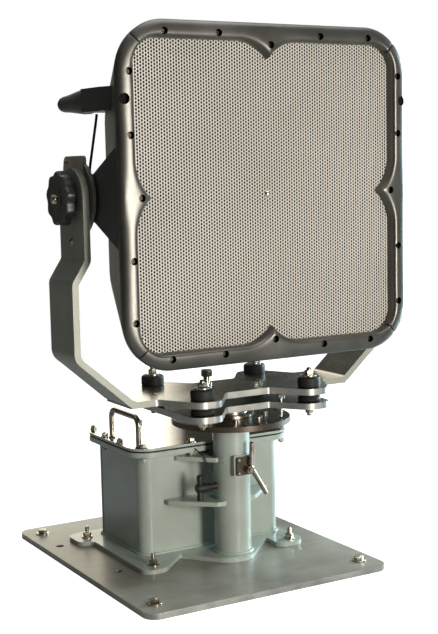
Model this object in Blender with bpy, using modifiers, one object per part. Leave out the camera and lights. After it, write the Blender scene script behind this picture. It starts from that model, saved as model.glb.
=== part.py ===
"""Acoustic hailing head on a tilting yoke, vibration isolators and a pan pedestal.

Metres, +Z up, the speaker face looks along -Y.  The origin is on the pan axis, on the
underside of the base plate.  Lengths are written in millimetres and scaled by MM.
"""
import math

import bmesh
import bpy
from mathutils import Matrix, Vector

MM = 0.001
GAP = 0.3                     # clearance kept between neighbouring pieces

# base plate and its corner bolts
PLATE_X, PLATE_Y = -49.0, 101.0
PLATE_HALF_X, PLATE_HALF_Y, PLATE_R, PLATE_T = 300.0, 360.0, 30.0, 13.0
PLATE_BOLT_X, PLATE_BOLT_Y, PLATE_BOLT_HOLE = 258.0, 302.0, 6.8
SPARE_HOLE_R = 9.5
SPARE_HOLES = [(-312.0, 283.0), (-278.0, 34.0)]

# welded foot flange of the pedestal
FOOT_T = 10.0
FOOT_TOP = PLATE_T + GAP + FOOT_T
FOOT_STUDS = [(-206.0, 2.0), (155.0, 2.0), (-241.0, 283.0), (204.0, 283.0)]

# electronics box behind the column
BOX_X0, BOX_X1, BOX_Y0, BOX_Y1 = -198.0, 170.0, 66.0, 308.0
BOX_WALL, BOX_R = 4.0, 26.0
RIM_OUT, RIM_T, RIM_TOP = 24.0, 12.0, 266.0
SEAL_T, LID_T = 3.0, 6.0
LID_TOP = RIM_TOP + GAP + SEAL_T + GAP + LID_T
HANDLE_X, HANDLE_Y0, HANDLE_Y1, HANDLE_TOP, HANDLE_D = -202.0, 66.0, 206.0, 344.0, 13.0

# column, index disc and pan spindle
COLUMN_R, COLUMN_WALL, COLUMN_TOP = 42.0, 6.0, 324.7
DISC_R, DISC_Z0, DISC_T = 135.0, 325.0, 12.0
INDEX_R, INDEX_HOLES, INDEX_HOLE_R = 118.0, 24, 5.4
SPINDLE_R, SPINDLE_BORE, SPINDLE_LOW, COLLAR_R = 20.0, 20.8, 150.0, 38.0
BEARING_LOW = 284.0
GUSSET_T, GUSSET_Z, GUSSET_HIGH_Z = 10.0, 138.0, 236.0

# turntable, isolators and yoke
TURN_Z0, DECK_T = 360.5, 14.0
YOKE_Z0 = 393.0
YOKE_TOP = YOKE_Z0 + DECK_T
ISO_X, ISO_Y, ISO_R = 137.0, 117.0, 26.0
ISO_TOP = 430.0
ISO_BOLT_R, ISO_BOLT_HOLE = 6.0, 6.5
DECK_WAIST, DECK_NECK, EAR_Y = 78.0, 57.0, 156.0
TURN_HALF_X = 178.0
YOKE_T, ARM_HALF = 14.0, 62.0
ARM_UP_X, ARM_LOW_X = 375.0, 405.0
TILT_Z = 841.0
ARM_TOP = TILT_Z + ARM_HALF

# index plunger, drawn at rest lifted clear of the disc
PIN_X, PIN_Y, PIN_R, PIN_HOLE = 82.0, -85.0, 4.0, 4.6
PIN_LIFT, PIN_HEAD_R, PIN_HEAD_H = 11.0, 9.0, 22.0

# tilt pivot
FRICTION_R, FRICTION_T = 80.0, 8.0
FRICTION_TAB = [(-36, 40, 10), (-36, 88, 8), (62, 88, 16), (76, 20, 10)]
BOSS_X = 347.0
TRUNNION_R, TRUNNION_HOLE, TRUNNION_END = 10.0, 10.5, 418.0
KNOB_R, KNOB_LOBE, KNOB_LOBES, KNOB_X0, KNOB_X1 = 55.0, 3.0, 9, 385.0, 408.0

# speaker head (s is the distance from the middle of the face)
FACE_Y = -197.0
FRAME_OUT, FRAME_OUT_R = 352.0, 106.0
FRAME_IN, FRAME_IN_R = 315.0, 51.0
FRAME_BACK = -22.0
CREST_IN = 12.0
CUSP_HALF, CUSP_DEPTH = 75.0, 36.0
GRILLE_T = 2.0
GRILLE_HALF, GRILLE_R = 345.0, 99.0
HOUSE_FRONT, HOUSE_FRONT_R = 349.0, 103.0
HOUSE_BACK, HOUSE_BACK_R, HOUSE_BACK_Y = 300.0, 150.0, -20.0
HOUSE_WALL = 3.0
COVER_X, COVER_Z0, COVER_Z1, COVER_DEPTH = 205.0, -270.0, 150.0, 72.0
GRIP_X, GRIP_Z, GRIP_R0, GRIP_R1, GRIP_END = 330.0, 200.0, 27.0, 16.0, 125.0
GRIP_SOCKET = 24.0
DRIVER_PITCH, DRIVER_R, DRIVER_DEPTH = 190.0, 78.0, 62.0
FIT_CLEAR = 0.4               # room cut for a piece that sits against the tapered housing

# column clamps
PAD_HALF, PAD_Z, PAD_Y = 23.0, 231.0, -50.0
LEVER_X, LEVER_Z, LEVER_Y, LEVER_R = 8.0, 224.0, -66.0, 5.5
TEE_X, TEE_Z, TEE_R, TEE_HALF = -84.0, 180.0, 5.5, 30.0

COLOURS = {
    "paint": ((0.36, 0.42, 0.40), 0.45, 0.0),
    "steel": ((0.55, 0.53, 0.48), 0.35, 1.0),
    "dark_steel": ((0.07, 0.055, 0.045), 0.5, 0.8),
    "aluminium": ((0.30, 0.30, 0.27), 0.5, 0.9),
    "gunmetal": ((0.10, 0.10, 0.11), 0.4, 0.7),
    "housing": ((0.045, 0.047, 0.043), 0.6, 0.2),
    "grille": ((0.58, 0.55, 0.49), 0.5, 0.3),
    "rubber": ((0.015, 0.015, 0.016), 0.8, 0.0),
    "plastic": ((0.02, 0.02, 0.02), 0.5, 0.0),
    "tan": ((0.36, 0.29, 0.22), 0.5, 0.4),
}


# ---------------------------------------------------------------- helpers
def clear_scene():
    for thing in list(bpy.data.objects):
        bpy.data.objects.remove(thing, do_unlink=True)


def make_collection(name):
    group = bpy.data.collections.new(name)
    bpy.context.scene.collection.children.link(group)
    return group


def make_material(name):
    colour, rough, metal = COLOURS[name]
    mat = bpy.data.materials.new(name)
    mat.use_nodes = True
    shader = mat.node_tree.nodes["Principled BSDF"]
    shader.inputs["Base Color"].default_value = (*colour, 1.0)
    shader.inputs["Roughness"].default_value = rough
    shader.inputs["Metallic"].default_value = metal
    return mat


clear_scene()
PARTS = make_collection("acoustic_hailing_device")
CUTTERS = make_collection("cutters")
MATERIALS = {key: make_material(key) for key in COLOURS}


def add_object(name, data, group=PARTS):
    thing = bpy.data.objects.new(name, data)
    group.objects.link(thing)
    return thing


def place(thing, at):
    thing.location = Vector(at) * MM
    return thing


def dress(thing, finish, angle=35.0):
    thing.data.materials.clear()
    thing.data.materials.append(MATERIALS[finish])
    thing.data.shade_smooth()
    thing.data.set_sharp_from_angle(angle=math.radians(angle))
    return thing


def as_cutter(thing):
    for group in list(thing.users_collection):
        group.objects.unlink(thing)
    CUTTERS.objects.link(thing)
    thing.hide_render = True
    thing.display_type = "WIRE"
    return thing


def boolean(thing, tool, operation, solver="EXACT"):
    mod = thing.modifiers.new(operation.lower() + "_" + tool.name, "BOOLEAN")
    mod.operation = operation
    mod.solver = solver
    mod.object = as_cutter(tool)
    return thing


def fillet(corners, segments=4):
    """Points of a closed outline whose corners (x, y, radius) are rounded by arcs."""
    points = []
    count = len(corners)
    for i, (x, y, radius) in enumerate(corners):
        here = Vector((x, y))
        before = Vector(corners[i - 1][:2]) - here
        after = Vector(corners[(i + 1) % count][:2]) - here
        if radius <= 0.0:
            points.append(here)
            continue
        half = before.angle(after) / 2.0
        reach = min(radius / math.tan(half), before.length * 0.499, after.length * 0.499)
        radius = reach * math.tan(half)
        inward = (before.normalized() + after.normalized()).normalized()
        middle = here + inward * radius / math.sin(half)
        start = here + before.normalized() * reach - middle
        turn = start.angle_signed(here + after.normalized() * reach - middle)
        for k in range(segments + 1):
            points.append(middle + Matrix.Rotation(-turn * k / segments, 2) @ start)
    return points


def circle(x, y, radius, segments=16):
    steps = [math.tau * k / segments for k in range(segments)]
    return [Vector((x + radius * math.cos(a), y + radius * math.sin(a))) for a in steps]


def rounded_square(half_x, half_y, radius, segments=5):
    corners = [(-half_x, -half_y, radius), (half_x, -half_y, radius),
               (half_x, half_y, radius), (-half_x, half_y, radius)]
    return fillet(corners, segments)


def curve_to_mesh(curve_object, name):
    """The curve's solid as a welded mesh object, in place of the curve."""
    bpy.context.view_layer.update()
    depsgraph = bpy.context.evaluated_depsgraph_get()
    mesh = bpy.data.meshes.new_from_object(curve_object.evaluated_get(depsgraph))
    solid = bmesh.new()
    solid.from_mesh(mesh)
    bmesh.ops.remove_doubles(solid, verts=solid.verts, dist=0.00002)
    bmesh.ops.recalc_face_normals(solid, faces=solid.faces)
    solid.to_mesh(mesh)
    solid.free()
    mesh.name = name
    result = add_object(name, mesh)
    result.matrix_world = curve_object.matrix_world
    bpy.data.objects.remove(curve_object, do_unlink=True)
    return result


# The plane an outline is drawn in: (u, v) become world axes, the extrusion goes along n.
PLANES = {
    "XY": Matrix(((1, 0, 0), (0, 1, 0), (0, 0, 1))),
    "XZ": Matrix(((1, 0, 0), (0, 0, -1), (0, 1, 0))),
    "YZ": Matrix(((0, 0, 1), (1, 0, 0), (0, 1, 0))),
}


def plate(name, loops, low, high, plane="XY"):
    """A flat piece from outlines in mm; the loops after the first are holes.

    low and high bound it along the plane's normal: +Z for XY, +X for YZ, -Y for XZ.
    """
    curve = bpy.data.curves.new(name + "_outline", "CURVE")
    curve.dimensions = "2D"
    curve.fill_mode = "BOTH"
    curve.extrude = (high - low) / 2.0 * MM
    for loop in loops:
        spline = curve.splines.new("POLY")
        spline.points.add(len(loop) - 1)
        spline.use_cyclic_u = True
        for point, place_at in zip(spline.points, loop):
            point.co = (place_at[0] * MM, place_at[1] * MM, 0.0, 1.0)
    holder = add_object(name + "_outline", curve)
    turn = PLANES[plane]
    middle = turn @ Vector((0, 0, (low + high) / 2.0 * MM))
    holder.matrix_world = Matrix.Translation(middle) @ turn.to_4x4()
    return curve_to_mesh(holder, name)


def block(name, low, high, bevel=0.0):
    mesh = bpy.data.meshes.new(name)
    solid = bmesh.new()
    bmesh.ops.create_cube(solid, size=1.0)
    size = (Vector(high) - Vector(low)) * MM
    bmesh.ops.scale(solid, vec=size, verts=solid.verts)
    solid.to_mesh(mesh)
    solid.free()
    thing = place(add_object(name, mesh), (Vector(low) + Vector(high)) / 2.0)
    if bevel > 0.0:
        mod = thing.modifiers.new("edges", "BEVEL")
        mod.width = bevel * MM
        mod.segments = 2
    return thing


AXIS_TURNS = {
    "Z": Matrix.Identity(4),
    "X": Matrix.Rotation(math.pi / 2.0, 4, "Y"),
    "-X": Matrix.Rotation(-math.pi / 2.0, 4, "Y"),
    "Y": Matrix.Rotation(-math.pi / 2.0, 4, "X"),
    "-Y": Matrix.Rotation(math.pi / 2.0, 4, "X"),
}


def turned(name, profile, at=(0, 0, 0), axis="Z", steps=16):
    """A turned piece; profile is (radius, height) pairs in mm from the top down its outer side."""
    mesh = bpy.data.meshes.new(name)
    verts = [(radius * MM, 0.0, height * MM) for radius, height in profile]
    closed = profile[0][0] > 0.0
    edges = [(i, i + 1) for i in range(len(verts) - 1)]
    if closed:
        edges.append((len(verts) - 1, 0))
    mesh.from_pydata(verts, edges, [])
    thing = add_object(name, mesh)
    thing.matrix_world = Matrix.Translation(Vector(at) * MM) @ AXIS_TURNS[axis]
    mod = thing.modifiers.new("turn", "SCREW")
    mod.axis = "Z"
    mod.steps = steps
    mod.render_steps = steps
    mod.use_merge_vertices = True
    mod.merge_threshold = 0.00001
    mod.use_smooth_shade = False
    return thing


def rod(name, radius, z0, z1, at=(0, 0, 0), axis="Z", steps=16):
    return turned(name, [(0, z1), (radius, z1), (radius, z0), (0, z0)], at, axis, steps)


def ring(name, outer, inner, z0, z1, at=(0, 0, 0), axis="Z", steps=16):
    return turned(name, [(outer, z1), (outer, z0), (inner, z0), (inner, z1)], at, axis, steps)


def tube(name, route, radius, resolution=3):
    curve = bpy.data.curves.new(name + "_route", "CURVE")
    curve.dimensions = "3D"
    curve.bevel_depth = radius * MM
    curve.bevel_resolution = resolution
    curve.use_fill_caps = True
    spline = curve.splines.new("POLY")
    spline.points.add(len(route) - 1)
    for point, place_at in zip(spline.points, route):
        point.co = (place_at[0] * MM, place_at[1] * MM, place_at[2] * MM, 1.0)
    return curve_to_mesh(add_object(name + "_route", curve), name)


def round_route(corners, segments=5):
    """A polyline route in space with its inner corners (x, y, z, radius) rounded."""
    points = [Vector(corners[0][:3])]
    for i in range(1, len(corners) - 1):
        here = Vector(corners[i][:3])
        before = (Vector(corners[i - 1][:3]) - here).normalized()
        after = (Vector(corners[i + 1][:3]) - here).normalized()
        half = before.angle(after) / 2.0
        radius = corners[i][3]
        reach = radius / math.tan(half)
        middle = here + (before + after).normalized() * radius / math.sin(half)
        start = here + before * reach - middle
        finish = here + after * reach - middle
        turn = start.angle(finish)
        for k in range(segments + 1):
            share = k / segments
            blend = start * math.sin((1 - share) * turn) + finish * math.sin(share * turn)
            points.append(middle + blend / math.sin(turn))
    points.append(Vector(corners[-1][:3]))
    return points


def loft(name, rings, close_ends=True, group=PARTS):
    """A skin over rings of equally many points, each in mm."""
    solid = bmesh.new()
    rows = [[solid.verts.new(Vector(point) * MM) for point in row] for row in rings]
    count = len(rows[0])
    for lower, upper in zip(rows, rows[1:]):
        for k in range(count):
            after = (k + 1) % count
            solid.faces.new((lower[k], lower[after], upper[after], upper[k]))
    if close_ends:
        solid.faces.new(list(reversed(rows[0])))
        solid.faces.new(rows[-1])
    bmesh.ops.recalc_face_normals(solid, faces=solid.faces)
    mesh = bpy.data.meshes.new(name)
    solid.to_mesh(mesh)
    solid.free()
    return add_object(name, mesh, group)


# ---------------------------------------------------------------- pedestal
def build_base():
    middle = Vector((PLATE_X, PLATE_Y))
    outline = [middle + p for p in rounded_square(PLATE_HALF_X, PLATE_HALF_Y, PLATE_R)]
    corners = [(PLATE_X + sx * PLATE_BOLT_X, PLATE_Y + sy * PLATE_BOLT_Y) for sx in (-1, 1) for sy in (-1, 1)]
    holes = [circle(x, y, PLATE_BOLT_HOLE, 10) for x, y in corners]
    holes += [circle(x, y, SPARE_HOLE_R, 12) for x, y in SPARE_HOLES]
    dress(plate("base_plate", [outline] + holes, 0.0, PLATE_T), "steel")
    seat = PLATE_T + GAP
    for number, (x, y) in enumerate(corners, 1):
        profile = [(0, seat + 11), (10.5, seat + 11), (10.5, seat + 2.5), (16, seat + 2.5), (16, seat),
                   (6, seat), (6, 1), (0, 1)]
        dress(turned(f"base_bolt_{number}", profile, (x, y, 0), steps=10), "steel")


def build_foot():
    outline = fillet([
        (-245, -34, 34), (-192, -34, 28), (-119, 38, 4), (-19, -96, 60), (116, 45, 4), (110, -25, 26),
        (192, -25, 36), (182, 60, 30), (182, 240, 12), (240, 248, 32), (240, 320, 32), (206, 330, 12),
        (-242, 330, 12), (-276, 320, 32), (-276, 248, 32), (-242, 240, 12)])
    dress(plate("foot_flange", [outline], PLATE_T + GAP, FOOT_TOP), "paint")
    for number, (x, y) in enumerate(FOOT_STUDS, 1):
        base = FOOT_TOP + GAP
        profile = [(0, base + 27), (5, base + 27), (5, base + 13), (10, base + 13), (10, base), (0, base)]
        dress(turned(f"foot_stud_{number}", profile, (x, y, 0), steps=10), "steel")


def box_outline(grow, radius):
    return fillet([(BOX_X0 - grow, BOX_Y0 - grow, radius), (BOX_X1 + grow, BOX_Y0 - grow, radius),
                   (BOX_X1 + grow, BOX_Y1 + grow, radius), (BOX_X0 - grow, BOX_Y1 + grow, radius)])


def build_box():
    walls = [box_outline(0.0, BOX_R), box_outline(-BOX_WALL, BOX_R - BOX_WALL)]
    body = plate("box_body", walls, FOOT_TOP + GAP, RIM_TOP)
    rim_loops = [box_outline(RIM_OUT, BOX_R + RIM_OUT), box_outline(-BOX_WALL + 1.0, BOX_R - BOX_WALL + 1.0)]
    rim = plate("box_rim", rim_loops, RIM_TOP - RIM_T, RIM_TOP)
    dress(boolean(body, rim, "UNION"), "paint")
    seal_loops = [box_outline(RIM_OUT - 1.0, BOX_R + RIM_OUT - 1.0), box_outline(2.0, BOX_R)]
    seal_low = RIM_TOP + GAP
    dress(plate("lid_gasket", seal_loops, seal_low, seal_low + SEAL_T), "rubber")
    lid = plate("box_lid", [box_outline(RIM_OUT, BOX_R + RIM_OUT)], LID_TOP - LID_T, LID_TOP)
    dress(lid, "steel")
    low = LID_TOP + GAP
    route = round_route([(HANDLE_X, HANDLE_Y0, low, 0), (HANDLE_X, HANDLE_Y0, HANDLE_TOP, 18.0),
                         (HANDLE_X, HANDLE_Y1, HANDLE_TOP, 18.0), (HANDLE_X, HANDLE_Y1, low, 0)])
    dress(tube("lid_handle", route, HANDLE_D / 2.0), "steel")
    inner = BOX_WALL + 18.0
    dress(block("amplifier_module", (BOX_X0 + inner, BOX_Y0 + inner, FOOT_TOP + GAP),
                (BOX_X1 - inner, BOX_Y1 - inner, 190.0), 3.0), "aluminium")


def build_column():
    column_in = COLUMN_R - COLUMN_WALL
    dress(ring("column_tube", COLUMN_R, column_in, FOOT_TOP + GAP, COLUMN_TOP, steps=32), "paint")
    dress(ring("pan_bearing", column_in - GAP, SPINDLE_BORE, BEARING_LOW, COLUMN_TOP, steps=32), "steel")
    loops = [circle(0, 0, DISC_R, 40), circle(0, 0, SPINDLE_BORE)]
    for k in range(INDEX_HOLES):
        angle = math.atan2(PIN_Y, PIN_X) + math.tau * k / INDEX_HOLES
        loops.append(circle(INDEX_R * math.cos(angle), INDEX_R * math.sin(angle), INDEX_HOLE_R, 6))
    dress(plate("index_disc", loops, DISC_Z0, DISC_Z0 + DISC_T), "dark_steel")


def build_gussets():
    left = [(-140, 65.6), (-140, 50), (-54, -28), (-10, -28), (-10, 65.6)]
    left_high = [(-114, 65.6), (-112, 58), (-46, -10), (-10, -10), (-10, 65.6)]
    right = [(126, 65.6), (126, 54), (54, -14), (10, -14), (10, 65.6)]
    rows = [("gusset_lower_left", left, GUSSET_Z), ("gusset_upper_left", left_high, GUSSET_HIGH_Z),
            ("gusset_lower_right", right, GUSSET_Z)]
    for name, outline, low in rows:
        web = plate(name, [[Vector(p) for p in outline]], low, low + GUSSET_T)
        tool = rod(name + "_bore", COLUMN_R + GAP, low - 5, low + GUSSET_T + 5, steps=32)
        dress(boolean(web, tool, "DIFFERENCE"), "paint")


def build_clamps():
    pad = block("clamp_pad", (-PAD_HALF, PAD_Y, PAD_Z - PAD_HALF), (PAD_HALF, -34.0, PAD_Z + PAD_HALF))
    boolean(pad, rod("pad_bore", COLUMN_R + GAP, PAD_Z - 40, PAD_Z + 40, steps=32), "DIFFERENCE")
    dress(pad, "paint")
    cheek = block("clamp_plate", (-PAD_HALF + 4, PAD_Y - 6.3, PAD_Z - PAD_HALF + 2),
                  (PAD_HALF - 1, PAD_Y - GAP, PAD_Z + PAD_HALF - 3))
    dress(cheek, "dark_steel")

    hub_back, hub_front = PAD_Y - 6.6, LEVER_Y - 7.0
    hub = rod("pan_lock_lever", 9.5, -hub_back, -hub_front, axis="-Y", at=(LEVER_X, 0, LEVER_Z))
    route = round_route([(LEVER_X + 7, LEVER_Y, 284, 0), (LEVER_X + 5, LEVER_Y, 226, 14),
                         (LEVER_X + 42, LEVER_Y, 164, 0)])
    boolean(hub, tube("lever_bar", route, LEVER_R), "UNION")
    dress(hub, "steel")

    middle = (0, 0, TEE_Z)
    tee = rod("tee_handle", TEE_R + 3.0, -TEE_X - 9.0, -TEE_X + 9.0, axis="-X", at=middle, steps=12)
    screw = rod("tee_screw", 6.0, COLUMN_R + GAP, -TEE_X, axis="-X", at=middle, steps=12)
    boolean(tee, screw, "UNION")
    bar = rod("tee_bar", TEE_R, -TEE_HALF, TEE_HALF, at=(TEE_X, 0, TEE_Z), steps=12)
    boolean(tee, bar, "UNION")
    dress(tee, "plastic")

    anchor = (-72.0, BOX_Y0 - RIM_OUT - 2.2, RIM_TOP - RIM_T / 2.0)
    over_web = (-67.0, 7.0, 248.0)
    hub = (TEE_X + 28.0, -8.5, TEE_Z + 4.0)
    sag = [Vector(anchor).lerp(Vector(over_web), k / 3.0) for k in range(3)]
    sag += [Vector(over_web).lerp(Vector(hub), k / 5.0) - Vector((0, 3.0 * math.sin(math.pi * k / 5.0), 0))
            for k in range(6)]
    dress(tube("tether_cord", sag, 1.5, 2), "plastic")


# ---------------------------------------------------------------- turntable and yoke
def deck_outline(end_x, end_y, end_radius):
    """Quarter by quarter: a waist at the middle and an ear round each isolator."""
    quarter = [(DECK_NECK, DECK_WAIST, 12.0), (112.0, EAR_Y, 30.0)]
    if end_y > ARM_HALF:
        quarter.append((end_x, end_y, end_radius))
    else:
        quarter += [(163.0, EAR_Y, 30.0), (213.0, ARM_HALF, 14.0), (end_x, end_y, end_radius)]
    points = [(x, -y, r) for x, y, r in quarter]
    points += [(x, y, r) for x, y, r in reversed(quarter)]
    points += [(-x, y, r) for x, y, r in quarter]
    points += [(-x, -y, r) for x, y, r in reversed(quarter)]
    return fillet(points)


def isolator_places():
    return [(sx * ISO_X, sy * ISO_Y) for sy in (-1, 1) for sx in (-1, 1)]


def build_turntable():
    bolt_holes = [circle(x, y, ISO_BOLT_HOLE, 10) for x, y in isolator_places()]
    pin_hole = circle(PIN_X, PIN_Y, PIN_HOLE, 10)
    outline = deck_outline(TURN_HALF_X, EAR_Y, 36.0)
    dress(plate("turntable_plate", [outline, pin_hole] + bolt_holes, TURN_Z0, TURN_Z0 + DECK_T), "aluminium")
    collar_low = DISC_Z0 + DISC_T + GAP
    profile = [(0, TURN_Z0 - GAP), (COLLAR_R, TURN_Z0 - GAP), (COLLAR_R, collar_low),
               (SPINDLE_R, collar_low), (SPINDLE_R, SPINDLE_LOW), (0, SPINDLE_LOW)]
    dress(turned("pan_spindle", profile), "steel")
    for number, (x, y) in enumerate(isolator_places(), 1):
        low, high = TURN_Z0 + DECK_T + GAP, YOKE_Z0 - GAP
        profile = [(ISO_R, high), (ISO_R, low), (ISO_BOLT_HOLE, low), (ISO_BOLT_HOLE, high)]
        dress(turned(f"isolator_lower_{number}", profile, (x, y, 0)), "rubber")
        low, high = YOKE_TOP + GAP, ISO_TOP
        profile = [(ISO_R - 4, high), (ISO_R, high - 4), (ISO_R, low), (ISO_BOLT_HOLE, low),
                   (ISO_BOLT_HOLE, high)]
        dress(turned(f"isolator_upper_{number}", profile, (x, y, 0)), "rubber")
        base = ISO_TOP + GAP
        under = TURN_Z0 - GAP
        profile = [(0, base + 19), (ISO_BOLT_R, base + 19), (ISO_BOLT_R, base + 13), (10, base + 13),
                   (10, base + 3), (15, base + 3), (15, base), (ISO_BOLT_R, base), (ISO_BOLT_R, under),
                   (10, under), (10, under - 13), (ISO_BOLT_R, under - 13), (ISO_BOLT_R, under - 20),
                   (0, under - 20)]
        dress(turned(f"isolator_bolt_{number}", profile, (x, y, 0), steps=10), "steel")


def build_yoke():
    deck_loops = [deck_outline(280.0, ARM_HALF, 4.0)]
    deck_loops += [circle(x, y, ISO_BOLT_HOLE, 10) for x, y in isolator_places()]
    deck_loops.append(circle(PIN_X, PIN_Y, PIN_HOLE, 10))
    yoke = plate("yoke", deck_loops, YOKE_Z0, YOKE_TOP)
    jog_low, jog_high, bend = 668.0, 714.0, 506.0
    outer = [(276, YOKE_Z0, 34), (ARM_LOW_X, bend, 34), (ARM_LOW_X, jog_low, 26), (ARM_UP_X, jog_high, 14),
             (ARM_UP_X, ARM_TOP, 0)]
    inner = [(ARM_UP_X - YOKE_T, ARM_TOP, 0), (ARM_UP_X - YOKE_T, jog_high - 4, 28),
             (ARM_LOW_X - YOKE_T, jog_low - 4, 12), (ARM_LOW_X - YOKE_T, bend + 6, 20), (270, YOKE_TOP, 20)]
    half = [(120.0, YOKE_Z0, 0)] + outer + inner + [(120.0, YOKE_TOP, 0)]
    for side in (-1, 1):
        outline = [Vector((side * p[0], p[1])) for p in fillet(half)]
        arm = plate("yoke_arm_" + "lr"[side > 0], [outline], -ARM_HALF, ARM_HALF, "XZ")
        reach = [(-ARM_HALF - 2, 380, 0), (ARM_HALF + 2, 380, 0), (ARM_HALF + 2, 600, 0), (ARM_HALF, 601, 0),
                 (ARM_HALF, ARM_TOP, ARM_HALF - 0.2), (-ARM_HALF, ARM_TOP, ARM_HALF - 0.2),
                 (-ARM_HALF, 601, 0), (-ARM_HALF - 2, 600, 0)]
        loops = [fillet(reach, 8), circle(0, TILT_Z, TRUNNION_HOLE)]
        low, high = sorted((side * 100.0, side * 420.0))
        boolean(arm, plate(arm.name + "_form", loops, low, high, "YZ"), "INTERSECT", "MANIFOLD")
        boolean(yoke, arm, "UNION", "MANIFOLD")
    dress(yoke, "aluminium")


def build_plunger():
    low = DISC_Z0 + DISC_T + 1.0
    seat = YOKE_TOP + GAP + PIN_LIFT
    profile = [(0, seat + PIN_HEAD_H), (PIN_HEAD_R, seat + PIN_HEAD_H), (PIN_HEAD_R, seat), (PIN_R, seat),
               (PIN_R, low), (0, low)]
    dress(turned("index_plunger", profile, (PIN_X, PIN_Y, 0)), "steel")


def build_pivots():
    for side, word, axis in ((-1, "left", "-X"), (1, "right", "X")):
        high = ARM_UP_X - YOKE_T - GAP
        low = high - FRICTION_T
        loops = [circle(0, TILT_Z, FRICTION_R, 28), circle(0, TILT_Z, TRUNNION_HOLE)]
        span = sorted((side * low, side * high))
        face = plate("friction_plate_" + word, loops, *span, "YZ")
        tab_outline = [Vector((p[0], p[1] + TILT_Z)) for p in fillet(FRICTION_TAB)]
        boolean(face, plate("friction_tab_" + word, [tab_outline], *span, "YZ"), "UNION")
        dress(face, "tan")

        rim = []
        rim_points = KNOB_LOBES * 4
        for k in range(rim_points):
            angle = math.tau * k / rim_points
            radius = KNOB_R + KNOB_LOBE * math.cos(KNOB_LOBES * angle)
            rim.append(Vector((radius * math.cos(angle), TILT_Z + radius * math.sin(angle))))
        span = sorted((side * KNOB_X0, side * KNOB_X1))
        knob = plate("tilt_knob_" + word, [rim, circle(0, TILT_Z, TRUNNION_HOLE)], *span, "YZ")
        hub = ring("knob_hub_" + word, 30.0, TRUNNION_HOLE, ARM_UP_X + 1.0, KNOB_X0 + 4.0,
                   (0, 0, TILT_Z), axis)
        dress(boolean(knob, hub, "UNION"), "plastic")


# ---------------------------------------------------------------- speaker head
def frame_path(stations_corner=4, stations_cusp=8):
    """(inner, outer) points of the top side, from one 45 degree seam to the other."""
    straight_in = FRAME_IN - FRAME_IN_R
    straight_out = FRAME_OUT - FRAME_OUT_R
    arc_r = (CUSP_HALF ** 2 + CUSP_DEPTH ** 2) / (2.0 * CUSP_DEPTH)
    rows = []
    seam = 0.35
    for k in range(stations_corner + 1):
        angle = math.radians(45.0) * (1.0 - k / stations_corner)
        shift = seam if k == 0 else 0.0
        inner = Vector((-straight_in - FRAME_IN_R * math.sin(angle) + shift,
                        straight_in + FRAME_IN_R * math.cos(angle)))
        outer = Vector((-straight_out - FRAME_OUT_R * math.sin(angle) + shift,
                        straight_out + FRAME_OUT_R * math.cos(angle)))
        rows.append((inner, outer))
    for k in range(1, 3):
        across = -straight_out + (straight_out - CUSP_HALF) * k / 3.0
        rows.append((Vector((across, FRAME_IN)), Vector((across, FRAME_OUT))))
    half_cusp = stations_cusp // 2
    for k in range(half_cusp + 1):
        across = -CUSP_HALF * (1.0 - k / half_cusp)
        into = CUSP_HALF - abs(across)
        level = FRAME_IN - (arc_r - math.sqrt(arc_r ** 2 - into ** 2))
        rows.append((Vector((across, level)), Vector((across, FRAME_OUT))))
    mirrored = [(Vector((-a.x, a.y)), Vector((-b.x, b.y))) for a, b in reversed(rows[:-1])]
    return rows + mirrored


def frame_section(inner, outer):
    """Section points (across the rim, forward of the face plane) as plan points and depths."""
    toward = (inner - outer)
    length = toward.length
    toward.normalize()
    marks = [(3.0, FRAME_BACK), (0.0, -8.0), (3.0, 1.0), (CREST_IN, 5.0)]
    flank = [(0.4, 0.0), (0.8, -12.0), (1.0, FRAME_BACK)]
    marks += [(CREST_IN + (length - CREST_IN) * share, depth) for share, depth in flank]
    return [(outer + toward * offset, depth) for offset, depth in marks]


def build_frame():
    rows = frame_path()
    for quarter, word in enumerate(("top", "left", "bottom", "right")):
        turn = Matrix.Rotation(math.radians(90.0) * quarter, 2)
        rings = []
        for inner, outer in rows:
            section = frame_section(inner, outer)
            rings.append([((turn @ p).x, FACE_Y - depth, (turn @ p).y + TILT_Z) for p, depth in section])
        dress(loft("frame_" + word, rings), "gunmetal", 50.0)


def square_ring(half, radius, y, x_shift=0.0, z_shift=0.0, half_z=None):
    outline = rounded_square(half, half_z or half, radius)
    return [(p.x + x_shift, y, p.y + TILT_Z + z_shift) for p in outline]


def housing_rings(grow):
    front = FACE_Y - FRAME_BACK + GRILLE_T + 2 * GAP
    return [square_ring(HOUSE_FRONT + grow, HOUSE_FRONT_R + grow, front),
            square_ring(HOUSE_FRONT + grow, HOUSE_FRONT_R + grow, front + 10),
            square_ring(HOUSE_BACK + 6 + grow, HOUSE_BACK_R + grow, HOUSE_BACK_Y - 12),
            square_ring(HOUSE_BACK + grow, HOUSE_BACK_R + grow, HOUSE_BACK_Y - 3 + grow),
            square_ring(HOUSE_BACK - 10 + grow, HOUSE_BACK_R - 8 + grow, HOUSE_BACK_Y + grow)]


def shell(name, rings, thickness):
    """An open-fronted shell: the rings' skin, closed at the last ring, thickened inward."""
    solid = bmesh.new()
    rows = [[solid.verts.new(Vector(point) * MM) for point in row] for row in rings]
    count = len(rows[0])
    for lower, upper in zip(rows, rows[1:]):
        for k in range(count):
            after = (k + 1) % count
            solid.faces.new((lower[k], lower[after], upper[after], upper[k]))
    solid.faces.new(rows[-1])
    bmesh.ops.recalc_face_normals(solid, faces=solid.faces)
    mesh = bpy.data.meshes.new(name)
    solid.to_mesh(mesh)
    solid.free()
    thing = add_object(name, mesh)
    mod = thing.modifiers.new("wall", "SOLIDIFY")
    mod.thickness = thickness * MM
    mod.offset = -1.0
    mod.use_even_offset = True
    return thing


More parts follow.
